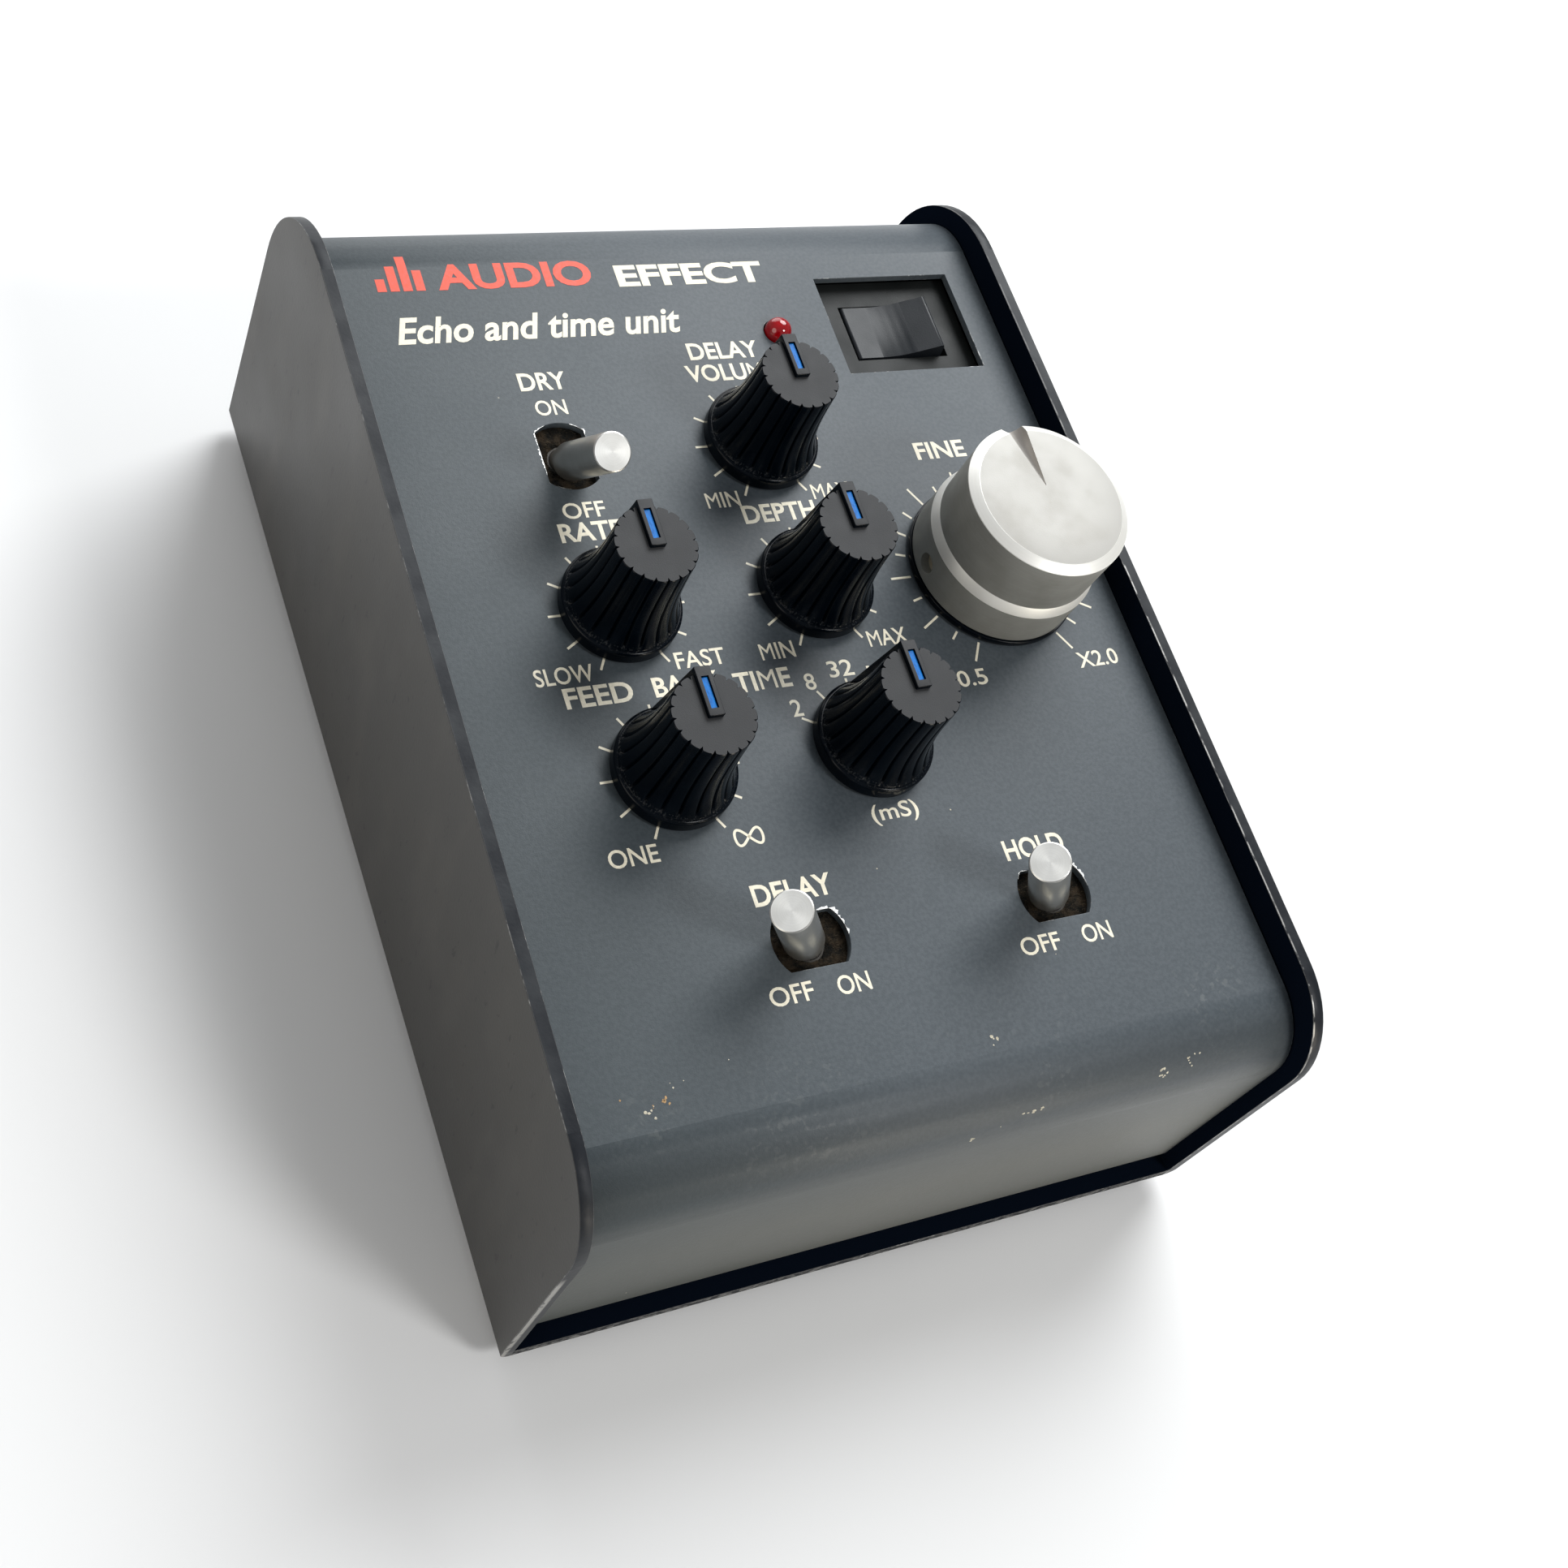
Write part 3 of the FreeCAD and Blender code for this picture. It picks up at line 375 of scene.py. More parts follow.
def dusty_felt():
    """Dark felt, browned by dust, with a fibrous nap."""
    finish = Finish("dusty_felt", uniform={"Sheen Weight": 0.02, "Specular IOR Level": 0.1})
    fibres = finish.noise(0.5, 5.0, stretch=(1.0, 2.6, 1.0), distortion=1.2)
    dust = finish.noise(1.8, 4.0)
    color = finish.mix(finish.between(dust, 0.4, 0.66), (0.006, 0.006, 0.005), (0.045, 0.032, 0.020))
    color = finish.mix(finish.between(fibres, 0.55, 0.72, 0.0, 0.6), color, (0.10, 0.078, 0.052))
    return finish.done(color, finish.vary(fibres, 0.85, 1.0), fibres, 0.25)


def circuit_board():
    """Green laminate with lighter copper shapes under its lacquer and a few pale spots."""
    finish = Finish("circuit_board", uniform={"Coat Weight": 0.3})
    distance, number = finish.cells(3.4)
    tracks = finish.between(distance, 0.30, 0.34)
    color = finish.mix(tracks, (0.06, 0.17, 0.07), (0.14, 0.27, 0.11))
    color = finish.mix(finish.between(number, 0.86, 0.88), color, (0.55, 0.54, 0.48))
    return finish.done(color, finish.between(number, 0.0, 1.0, 0.28, 0.42), tracks, 0.05)


HALF_WIRE_PITCH = 0.635


def ribbed_cable():
    """Grey ribbon cable with one rib per wire."""
    finish = Finish("ribbed_cable")
    rib = finish.math("PINGPONG", finish.part(finish.spot(), "X"), HALF_WIRE_PITCH)
    color = finish.mix(finish.between(rib, 0.0, 0.3), (0.18, 0.18, 0.19), (0.42, 0.42, 0.43))
    return finish.done(color, finish.vary(finish.noise(0.6), 0.38, 0.52), rib, 0.3)


def printed_ink(name, pale, deep):
    """Screen-printed ink with a slightly uneven film."""
    finish = Finish(name)
    film = finish.noise(0.5, 4.0)
    color = finish.mix(finish.between(film, 0.3, 0.62), deep, pale)
    return finish.done(color, finish.vary(film, 0.42, 0.58), film, 0.01)


felt = dusty_felt()
gloss = knob_gloss()
blue = blue_inlay()
matt = blotched("knob_matt", (0.024, 0.025, 0.027), (0.034, 0.035, 0.037), 0.6, 3.0, 0.14, spread=0.06,
                specular=0.35)
dial_metal = turned_metal("dial_metal", (0.21, 0.21, 0.192), (0.29, 0.29, 0.270), 0.5, 0.3, 0.3)
dial_bright = turned_metal("dial_bright", (0.80, 0.79, 0.74), (0.90, 0.89, 0.85), 0.4, 0.2, 0.45)
notch_metal = turned_metal("notch_metal", (0.40, 0.37, 0.34), (0.50, 0.48, 0.45), 0.5, 0.2, 0.5)
dial_top_metal = blasted_metal()
lever_metal = turned_metal("lever_metal", (0.47, 0.46, 0.43), (0.62, 0.61, 0.58), 0.30, 0.6, 0.9, 0.16)
# flat lever ends: their tool rings are real, their paler colour is a painted highlight
lever_end_painted_highlight = turned_metal("lever_end_painted_highlight", (0.62, 0.62, 0.59), (0.80, 0.80, 0.78), 0.6, 0.75, 0.25, 0.16)
dark_metal = blotched("dark_metal", (0.020, 0.018, 0.015), (0.045, 0.040, 0.034), 0.55, 3.0, 0.3, 0.01, 0.5)
heatsink_metal = blotched("heatsink_metal", (0.55, 0.55, 0.54), (0.70, 0.70, 0.69), 0.38, 8.0, 0.3, 0.01, 1.0)
cream_ink = printed_ink("cream_ink", (0.93, 0.87, 0.70), (0.80, 0.74, 0.59))
red_ink = printed_ink("red_ink", (0.84, 0.085, 0.035), (0.70, 0.055, 0.022))
cream_chip = blotched("cream_chip", (0.42, 0.38, 0.28), (0.70, 0.66, 0.54), 0.6, 0.8, 0.2)
tan_chip = blotched("tan_chip", (0.30, 0.17, 0.07), (0.50, 0.32, 0.15), 0.6, 0.8, 0.2)
bare_chip = blotched("bare_chip", (0.34, 0.34, 0.33), (0.62, 0.62, 0.61), 0.4, 0.8, 0.2, metallic=1.0)

SLOT_FINISHES = {
    "black_painted_steel": black_paint(),
    "grey_painted_steel": slate_paint(),
    "circuit_board": circuit_board(),
    "knob_plastic": gloss,
    "blue_insert": blue,
    "turned_aluminium": heatsink_metal,
    "lever_metal": lever_metal,
    "red_lens": red_lens(),
    "felt": felt,
    "cable_grey": ribbed_cable(),
    "rubber": blotched("rubber", (0.016, 0.016, 0.016), (0.032, 0.031, 0.030), 0.8, 3.0, 0.3, 0.05),
    "plated_steel": blotched(
        "plated_steel", (0.52, 0.52, 0.52), (0.72, 0.72, 0.71), 0.28, 6.0, 0.3, 0.006, 1.0),
    "plate_steel": blotched("dull_steel", (0.34, 0.34, 0.32), (0.48, 0.48, 0.46), 0.45, 9.0, 0.5, 0.01, 1.0),
    "black_plastic": blotched(
        "black_plastic", (0.014, 0.014, 0.015), (0.026, 0.026, 0.027), 0.42, 5.0, 0.25, 0.015),
    "rocker_plastic": blotched(
        "rocker_plastic", (0.008, 0.010, 0.013), (0.014, 0.017, 0.021), 0.40, 7.0, 0.22, 0.012, specular=0.3),
}
OWN_FINISHES = {
    **{name + "_toggle_switch": dark_metal for name in TOGGLES},
    "regulator_heatsink": heatsink_metal,
    "fine_knob_set_screw": blotched(
        "screw_metal", (0.46, 0.41, 0.31), (0.66, 0.60, 0.47), 0.4, 3.0, 0.3, 0.01, 0.2),
    "rocker_housing": blotched(
        "bezel_plastic", (0.0065, 0.008, 0.008), (0.012, 0.014, 0.0135), 0.55, 6.0, 0.2, specular=0.3),
    "board_capacitors": blotched(
        "capacitor_sleeve", (0.010, 0.015, 0.040), (0.018, 0.026, 0.062), 0.3, 4.0, 0.3, 0.005),
}


def paint_nodes():
    """Gives every CAD node the finish of its slot, or its own."""
    for subpart in frame["record"]["subparts"]:
        name = subpart["node"]
        finish = OWN_FINISHES.get(name, SLOT_FINISHES[subpart["material_slot"]])
        materials = NODES[name].data.materials
        materials.clear()
        materials.append(finish)


NODE_EDGE_ANGLE = 32.0


def round_edges(name, width, edge_finish=None):
    """Rounds a CAD node's sharp edges with modifiers, in a finish of their own if one is given."""
    node = NODES[name]
    weld = node.modifiers.new("weld", "WELD")
    weld.merge_threshold = 0.001 * MM
    bevel = node.modifiers.new("rounded_edges", "BEVEL")
    bevel.width = width * MM
    bevel.segments = 2
    bevel.limit_method = "ANGLE"
    bevel.angle_limit = math.radians(NODE_EDGE_ANGLE)
    bevel.harden_normals = True
    if edge_finish:
        node.data.materials.append(edge_finish)
        bevel.material = len(node.data.materials) - 1


# ---- mesh helpers
SHARP = 35.0
ROUNDED_ANGLE = 40.0


def finished(mesh, finishes, sharp=SHARP):
    """Gives a mesh its finishes and shades it smooth up to the sharp angle."""
    for finish in finishes:
        mesh.materials.append(finish)
    mesh.polygons.foreach_set("use_smooth", [True] * len(mesh.polygons))
    mesh.set_sharp_from_angle(angle=math.radians(sharp))
    return mesh


def to_mesh(name, points, faces, finishes=(), numbers=None):
    """Mesh from millimetre points, with its faces turned outwards; numbers are the faces' finishes."""
    mesh = bpy.data.meshes.new(name)
    mesh.from_pydata([Vector(p) * MM for p in points], [], faces)
    if numbers:
        mesh.polygons.foreach_set("material_index", numbers)
    work = bmesh.new()
    work.from_mesh(mesh)
    bmesh.ops.recalc_face_normals(work, faces=work.faces)
    work.to_mesh(mesh)
    work.free()
    return finished(mesh, finishes)


def joined(name, meshes, finishes, sharp=SHARP):
    """One mesh from several that share the list of finishes."""
    mesh = bpy.data.meshes.new(name)
    work = bmesh.new()
    for part in meshes:
        work.from_mesh(part)
    work.to_mesh(mesh)
    work.free()
    return finished(mesh, finishes, sharp)


def linked(name, data, place=Matrix.Identity(4)):
    """Object for some data, in the scene at a place."""
    made = bpy.data.objects.new(name, data)
    bpy.context.scene.collection.objects.link(made)
    made.matrix_world = place
    return made


def add_piece(name, mesh, place, body="case", replaced=()):
    """Object for a mesh at a place, riding on a body."""
    piece = linked(name, mesh, place)
    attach(piece, body)
    if replaced:
        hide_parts(*replaced)


def lathe(name, rows, angles, finishes, shape=None):
    """Closed surface of revolution about Z.

    rows are (radius, height) with, if not 0, a finish number and a flute share; a row of radius 0 is a
    single point. shape(radius, share, angle) gives the real radius.
    """
    rows = [(*row, 0, 0)[:4] for row in rows]
    points = []
    rings = []
    for radius, height, _, share in rows:
        if radius == 0:
            rings.append([len(points)])
            points.append((0, 0, height))
            continue
        ring = []
        for angle in angles:
            real = shape(radius, share, angle) if shape else radius
            ring.append(len(points))
            points.append((real * math.cos(angle), real * math.sin(angle), height))
        rings.append(ring)
    faces = []
    numbers = []
    count = len(angles)
    for below, above, row in zip(rings, rings[1:], rows[1:]):
        for i in range(count):
            j = (i + 1) % count
            if len(below) == 1:
                faces.append((below[0], above[i], above[j]))
            elif len(above) == 1:
                faces.append((below[i], below[j], above[0]))
            else:
                faces.append((below[i], below[j], above[j], above[i]))
            numbers.append(row[2])
    return to_mesh(name, points, faces, finishes, numbers)


def even_angles(count):
    """Angles of a full turn in equal steps."""
    return [2 * math.pi * i / count for i in range(count)]


def slab_faces(count):
    """Faces of a slab whose lower ring of points comes before its upper ring."""
    sides = [(i, (i + 1) % count, count + (i + 1) % count, count + i) for i in range(count)]
    return [tuple(range(count - 1, -1, -1)), tuple(range(count, 2 * count))] + sides


def loop_faces(rows, count, closed=True):
    """Faces between rows of points that are loops; the last row meets the first one if closed."""
    faces = []
    for row in range(rows if closed else rows - 1):
        here, there = row * count, (row + 1) % rows * count
        for i in range(count):
            after = (i + 1) % count
            faces.append((here + i, here + after, there + after, there + i))
    return faces


def prism(outline, low, high, name="prism", finishes=()):
    """Closed prism over an outline of (x, y), from height low to high."""
    points = [(x, y, height) for height in (low, high) for x, y in outline]
    return to_mesh(name, points, slab_faces(len(outline)), finishes)


def box_prism(left, near, right, far, low, high, name="prism", finishes=()):
    """Prism over a rectangle."""
    return prism([(left, near), (right, near), (right, far), (left, far)], low, high, name, finishes)


def settled(holder):
    """Mesh of an object as its settings and modifiers leave it; the object goes."""
    bpy.context.view_layer.update()
    mesh = bpy.data.meshes.new_from_object(holder.evaluated_get(bpy.context.evaluated_depsgraph_get()))
    bpy.data.objects.remove(holder)
    return mesh


def with_modifiers(mesh, steps):
    """Mesh after modifiers, given as (kind, settings)."""
    holder = linked("holder", mesh)
    for kind, settings in steps:
        modifier = holder.modifiers.new(kind.lower(), kind)
        for setting, value in settings.items():
            setattr(modifier, setting, value)
    return settled(holder)


def rounded(mesh, width):
    """Mesh with its sharp edges rounded to a width in millimetres."""
    return with_modifiers(mesh, [("BEVEL", {"width": width * MM, "segments": 3, "limit_method": "ANGLE",
                                            "angle_limit": math.radians(ROUNDED_ANGLE)})])


def subtract(mesh, cutters):
    """Mesh less the cutters, given as (mesh, place)."""
    tools = [linked("cutter", *cutter) for cutter in cutters]
    steps = [("BOOLEAN", {"operation": "DIFFERENCE", "solver": "EXACT", "object": tool}) for tool in tools]
    done = with_modifiers(mesh, steps)
    for tool in tools:
        bpy.data.objects.remove(tool)
    return done


# ---- fluted knobs
FLUTES = 20
KNOB_BASE = 0.5
KNOB_EDGE = 8.5
KNOB_TOP = 16.75
KNOB_BORE = 3.3
BORE_TOP = 13.2
FLANK_TOP = 5.56
FLANK_FLARE = 2.4
FLANK_REACH = 4.1
GROOVE_SHARE = 0.22
GROOVE_DEPTH = 0.40
LOBE_BULGE = 0.10
GROOVE_FADE = 0.7
POINTER_WIDTH = 2.2
POINTER_NEAR = -0.6
POINTER_FAR = 6.3
POINTER_CREST = 17.45
FIN_FOOT = 8.25
INLAY_WIDTH = 1.05
INLAY_NEAR = 0.4
INLAY_FAR = 4.9
INLAY_TOP = 17.15
INLAY_GAP = 0.02


def flank(height):
    """Radius of the flank: wide at the skirt, nearly straight above."""
    return FLANK_TOP + FLANK_FLARE * math.exp((SKIRT_TOP - height) / FLANK_REACH)


def fluted(radius, share, angle):
    """Round lobes parted by narrow V grooves; share fades the flutes out."""
    phase = (angle * FLUTES / (2 * math.pi)) % 1.0
    away = 2 * min(phase, 1 - phase)
    groove = max(0.0, 1 - away / GROOVE_SHARE) ** 0.8
    bulge = 1 - (1 - away) ** 2
    return radius + share * (LOBE_BULGE * bulge - GROOVE_DEPTH * groove)


def knob_body():
    """Skirt, fluted flank and matt top, hollow for the shaft."""
    phases = (0.0, 0.05, 0.10, 0.14, 0.25, 0.38, 0.5, 0.62, 0.75, 0.86, 0.90, 0.95)
    angles = [2 * math.pi * (i + phase) / FLUTES for i in range(FLUTES) for phase in phases]
    rows = [(0, BORE_TOP), (KNOB_BORE, BORE_TOP), (KNOB_BORE, KNOB_BASE),
            (KNOB_EDGE - 0.15, KNOB_BASE), (KNOB_EDGE, KNOB_BASE + 0.15)]
    shoulder = 0.5
    for step in range(7):
        turn = math.radians(15 * step)
        rows.append((KNOB_EDGE - shoulder * (1 - math.cos(turn)),
                     SKIRT_TOP - 0.1 - shoulder * (1 - math.sin(turn))))
    rows.append((flank(SKIRT_TOP) + 0.03, SKIRT_TOP - 0.03))
    steps = 16
    for step in range(steps + 1):
        rise = (step / steps) ** 1.6
        height = SKIRT_TOP + (KNOB_TOP - 0.12 - SKIRT_TOP) * rise
        grown = min(1.0, (height - SKIRT_TOP) / GROOVE_FADE)
        rows.append((flank(height), height, 0, grown * (1.0 + 0.5 * (1 - rise) ** 3)))
    rim = flank(KNOB_TOP)
    rows += [(rim - 0.1, KNOB_TOP, 0, 1.1), (rim - 0.75, KNOB_TOP, 1, 0.15), (3.0, KNOB_TOP, 1),
             (0, KNOB_TOP, 1)]
    return lathe("knob_body", rows, angles, [gloss, matt], fluted)


def knob_pointer():
    """Raised bar on the top with a fin that runs straight down to the skirt's edge."""
    side = [(POINTER_NEAR, KNOB_TOP - 0.6), (POINTER_NEAR, POINTER_CREST), (POINTER_FAR, POINTER_CREST)]
    side += [(POINTER_FAR + 0.12, POINTER_CREST - 1.2), (FIN_FOOT, SKIRT_TOP - 0.12),
             (FIN_FOOT - 0.1, SKIRT_TOP - 0.3), (flank(SKIRT_TOP) - 1.4, SKIRT_TOP - 0.3),
             (FLANK_TOP - 1.2, 6.0), (FLANK_TOP - 1.4, KNOB_TOP - 0.6)]
    bar = prism(side, -POINTER_WIDTH / 2, POINTER_WIDTH / 2, "pointer_bar", [gloss, matt])
    upright = Matrix(((0, 0, 1), (1, 0, 0), (0, 1, 0))).to_4x4()
    bar.transform(upright)
    bar = rounded(bar, 0.14)
    half = INLAY_WIDTH / 2
    pocket = box_prism(-half, INLAY_NEAR, half, INLAY_FAR, INLAY_TOP - 0.3, POINTER_CREST + 1.0, "pocket",
                       [gloss])
    bar = subtract(bar, [(pocket,)])
    for face in bar.polygons:
        if face.normal.z > 0.95 and face.center.z > (POINTER_CREST - 0.05) * MM:
            face.material_index = 1
    return bar


def inlay_mesh():
    """Coloured strip in the pointer's pocket, its edges rounded."""
    half = INLAY_WIDTH / 2 - INLAY_GAP
    strip = box_prism(-half, INLAY_NEAR + INLAY_GAP, half, INLAY_FAR - INLAY_GAP, INLAY_TOP - 0.5, INLAY_TOP,
                      "inlay", [blue])
    return rounded(strip, 0.1)


def add_knobs():
    """The same fluted moulding and inlay on each small control."""
    moulding = joined("knob_moulding", [knob_body(), knob_pointer()], [gloss, matt])
    inlay = inlay_mesh()
    for name, (across, up) in KNOBS.items():
        body = name + "_control"
        place = on_panel(across, up)
        add_piece(name + "_knob_moulding", moulding, place, body, [name + "_knob"])
        add_piece(name + "_pointer_inlay", inlay, place, body, [name + "_pointer_insert"])


# ---- the big turned knob
DIAL_RADIUS = 13.0
DIAL_UPPER = 12.35
DIAL_LOW = 1.4
DIAL_STEP = (7.9, 9.4)
DIAL_TOP = 19.25
DIAL_CHAMFER = (0.8, 1.4)
DIAL_SET = 5.0
NOTCH_START = 2.1
NOTCH_DIP = 3.5
NOTCH_LENGTH = 14.0
NOTCH_SPREAD = 0.175
SCREW_TURN = 181.0
SCREW_HEIGHT = 4.1
SCREW_RADIUS = 1.5
DIAL_BORE = 3.05
BORE_END = 15.25
DRILL_LENGTH = 14.0
DIAL_SHARP = 28.0


def add_dial():
    """Turned aluminium knob: two bands, bright chamfers, notch in the top and set-screw hole."""
    fine = 0.12
    upper_rim = DIAL_UPPER - DIAL_CHAMFER[1]
    shoulder = DIAL_TOP - DIAL_CHAMFER[0]
    side, bright, top = 0, 1, 2
    rows = [(0, BORE_END, side), (DIAL_BORE, BORE_END, side), (DIAL_BORE, DIAL_LOW, side),
            (DIAL_RADIUS - 0.2, DIAL_LOW, side), (DIAL_RADIUS, DIAL_LOW + 0.2, side),
            (DIAL_RADIUS, DIAL_STEP[0] - fine, side), (DIAL_RADIUS - 0.03, DIAL_STEP[0], bright),
            (DIAL_UPPER + 0.03, DIAL_STEP[1] - 0.02, bright), (DIAL_UPPER, DIAL_STEP[1] + 0.03, bright),
            (DIAL_UPPER, shoulder - fine, side), (DIAL_UPPER - 0.05, shoulder, bright),
            (upper_rim + fine, DIAL_TOP - 0.05, bright), (upper_rim, DIAL_TOP, bright),
            (6.0, DIAL_TOP, top), (0, DIAL_TOP, top)]
    finishes = [dial_metal, dial_bright, dial_top_metal, notch_metal]
    body = lathe("dial_turning", rows, even_angles(144), finishes)
    cone = [(0, -0.2), (0.1, -0.2), (NOTCH_LENGTH * NOTCH_SPREAD, NOTCH_LENGTH), (0, NOTCH_LENGTH)]
    notch = lathe("notch", cone, even_angles(32), [notch_metal])
    notch_place = (Matrix.Rotation(math.radians(DIAL_SET), 4, "Z")
                   @ Matrix.Translation(Vector((0, NOTCH_START, DIAL_TOP)) * MM)
                   @ Matrix.Rotation(math.radians(-90 - NOTCH_DIP), 4, "X"))
    bit = [(0, 0), (SCREW_RADIUS, 0), (SCREW_RADIUS, DRILL_LENGTH), (0, DRILL_LENGTH)]
    drill = lathe("drill", bit, even_angles(32), [dial_metal])
    drill_place = (Matrix.Translation(Vector((0, 0, SCREW_HEIGHT)) * MM)
                   @ Matrix.Rotation(math.radians(SCREW_TURN), 4, "Z")
                   @ Matrix.Rotation(math.radians(90), 4, "Y"))
    cut_body = subtract(body, [(notch, notch_place), (drill, drill_place)])
    cut_body.set_sharp_from_angle(angle=math.radians(DIAL_SHARP))
    add_piece("fine_knob_turning", cut_body, on_panel(*DIAL), "fine_control",
              ["fine_knob"])


# ---- toggle levers
BALL_RADIUS = 2.15
NECK_RADIUS = 1.5
LEVER_START = 2.8
LEVER_RADIUS = 2.75
LEVER_END = 17.4


def add_levers():
    """Turned bat levers: ball, neck and a thick barrel whose flat end keeps its tool rings, in a paler, less
    metallic copy of the lever metal that is a painted highlight.
    """
    rows = [(0, -BALL_RADIUS)]
    meet = math.degrees(math.acos(NECK_RADIUS / BALL_RADIUS))
    for step in range(1, 10):
        turn = math.radians(-90 + (90 + meet) * step / 9)
        rows.append((BALL_RADIUS * math.cos(turn), BALL_RADIUS * math.sin(turn)))
    rows += [(NECK_RADIUS, LEVER_START - 0.2), (NECK_RADIUS + 0.2, LEVER_START),
             (LEVER_RADIUS - 0.25, LEVER_START), (LEVER_RADIUS, LEVER_START + 0.25),
             (LEVER_RADIUS, LEVER_END - 0.22), (LEVER_RADIUS - 0.05, LEVER_END - 0.08),
             (LEVER_RADIUS - 0.2, LEVER_END)]
    rings = 14
    for ring in range(1, 2 * rings):
        radius = (LEVER_RADIUS - 0.2) * (1 - ring / (2 * rings))
        rows.append((radius, LEVER_END - (0.012 if ring % 2 else 0.0), 1))
    rows.append((0, LEVER_END, 1))
    mesh = lathe("lever_turning", rows, even_angles(64), [lever_metal, lever_end_painted_highlight])
    for name in TOGGLES:
        joint = JOINTS[name + "_throw"]
        axis = Vector(joint["axis"]).normalized()
        middle = math.radians(max(joint["range_deg"]) / 2)
        lean = Matrix.Rotation(-middle, 3, axis)
        way = lean @ OUT
        place = axes_matrix(Vector(joint["pos_m"]), way.cross(axis).normalized() * -1, axis, way)
        add_piece(name + "_lever_turning", mesh, place, name + "_lever",
                  [name + "_toggle_lever"])


# ---- printed legends
INK_LOW = 0.004
INK_HIGH = 0.03
SMALL_TICK = (8.0, 10.0)
TICK_WIDTH = 0.34
SMALL_TICK_STEP = 30
DIAL_TICK_STEP = 15
LAST_TICK = 150
LAST_TIME_TICK = 60
DIAL_TICKS = {"long": (13.5, 16.8), "short": (13.5, 15.1)}


def tick(across, up, degrees, start, end):
    """Printed line that points away from a control's middle."""
    turn = math.radians(degrees)
    way = Vector((math.sin(turn), math.cos(turn)))
    side = Vector((way.y, -way.x)) * (TICK_WIDTH / 2)
    middle = Vector((across, up))
    corners = [middle + way * start + side, middle + way * end + side, middle + way * end - side,
               middle + way * start - side]
    return prism([tuple(c) for c in corners], INK_LOW, INK_HIGH)


def ticks_mesh():
    """Tick rings round every turning control."""
    marks = []
    for name, place in KNOBS.items():
        last = LAST_TIME_TICK if name == "time" else LAST_TICK
        marks += [tick(*place, degrees, *SMALL_TICK) for degrees in range(-last, last + 1, SMALL_TICK_STEP)]
    for degrees in range(-LAST_TICK, LAST_TICK + 1, DIAL_TICK_STEP):
        reach = DIAL_TICKS["short" if degrees % SMALL_TICK_STEP else "long"]
        marks.append(tick(*DIAL, degrees, *reach))
    return joined("ticks", marks, [cream_ink])


NARROW = "M"


def letters(text, weight, lean):
    """Mesh of a text, whose narrow-cornered letters have material 1 and the others material 0."""
    curve = bpy.data.curves.new("words", "FONT")
    curve.body = text
    curve.align_x = "CENTER"
    curve.align_y = "CENTER"
    curve.offset = weight
    curve.shear = lean
    curve.resolution_u = 4
    curve.extrude = 0.5
    curve.materials.append(None)
    curve.materials.append(None)
    for style, letter in zip(curve.body_format, text):
        style.material_index = 1 if letter in NARROW else 0
    return settled(linked("words", curve))


def words(text, across, up, height, width=None, weight=0.0, lean=0.0):
    """Printed words, centred, with capitals of a height in millimetres and a whole width if given.

    The narrow corners of an M fill in when it is thickened, so that letter stays light.
    """
    points = []
    faces = []
    for style, thickness in ((0, weight), (1, 0.0)):
        source = letters(text, thickness, lean)
        start = len(points)
        points += [tuple(v.co) for v in source.vertices]
        faces += [tuple(start + i for i in p.vertices) for p in source.polygons if p.material_index == style]
    used = sorted({i for face in faces for i in face})
    order = {old: new for new, old in enumerate(used)}
    mesh = bpy.data.meshes.new("words")
    mesh.from_pydata([points[i] for i in used], [], [tuple(order[i] for i in face) for face in faces])
    xs = [v.co.x for v in mesh.vertices]
    ys = [v.co.y for v in mesh.vertices]
    tall = height / (max(ys) - min(ys))
    wide = width / (max(xs) - min(xs)) if width else tall
    middle = Vector(((max(xs) + min(xs)) / 2, (max(ys) + min(ys)) / 2))
    for vertex in mesh.vertices:
        x, y, z = vertex.co
        vertex.co = Vector((across + (x - middle.x) * wide, up + (y - middle.y) * tall,
                            INK_LOW if z < 0 else INK_HIGH)) * MM
    return mesh


# capital heights in millimetres, and how much the strokes are thickened
TITLE = 3.0
SMALL = 2.55
BOLD = 0.022
LIGHT = 0.010
PLACES = {**KNOBS, **TOGGLES, "fine": DIAL}
MIN_MAX = (("MIN", -8.7, -9.0, 5.2), ("MAX", 8.9, -9.0, 6.3))
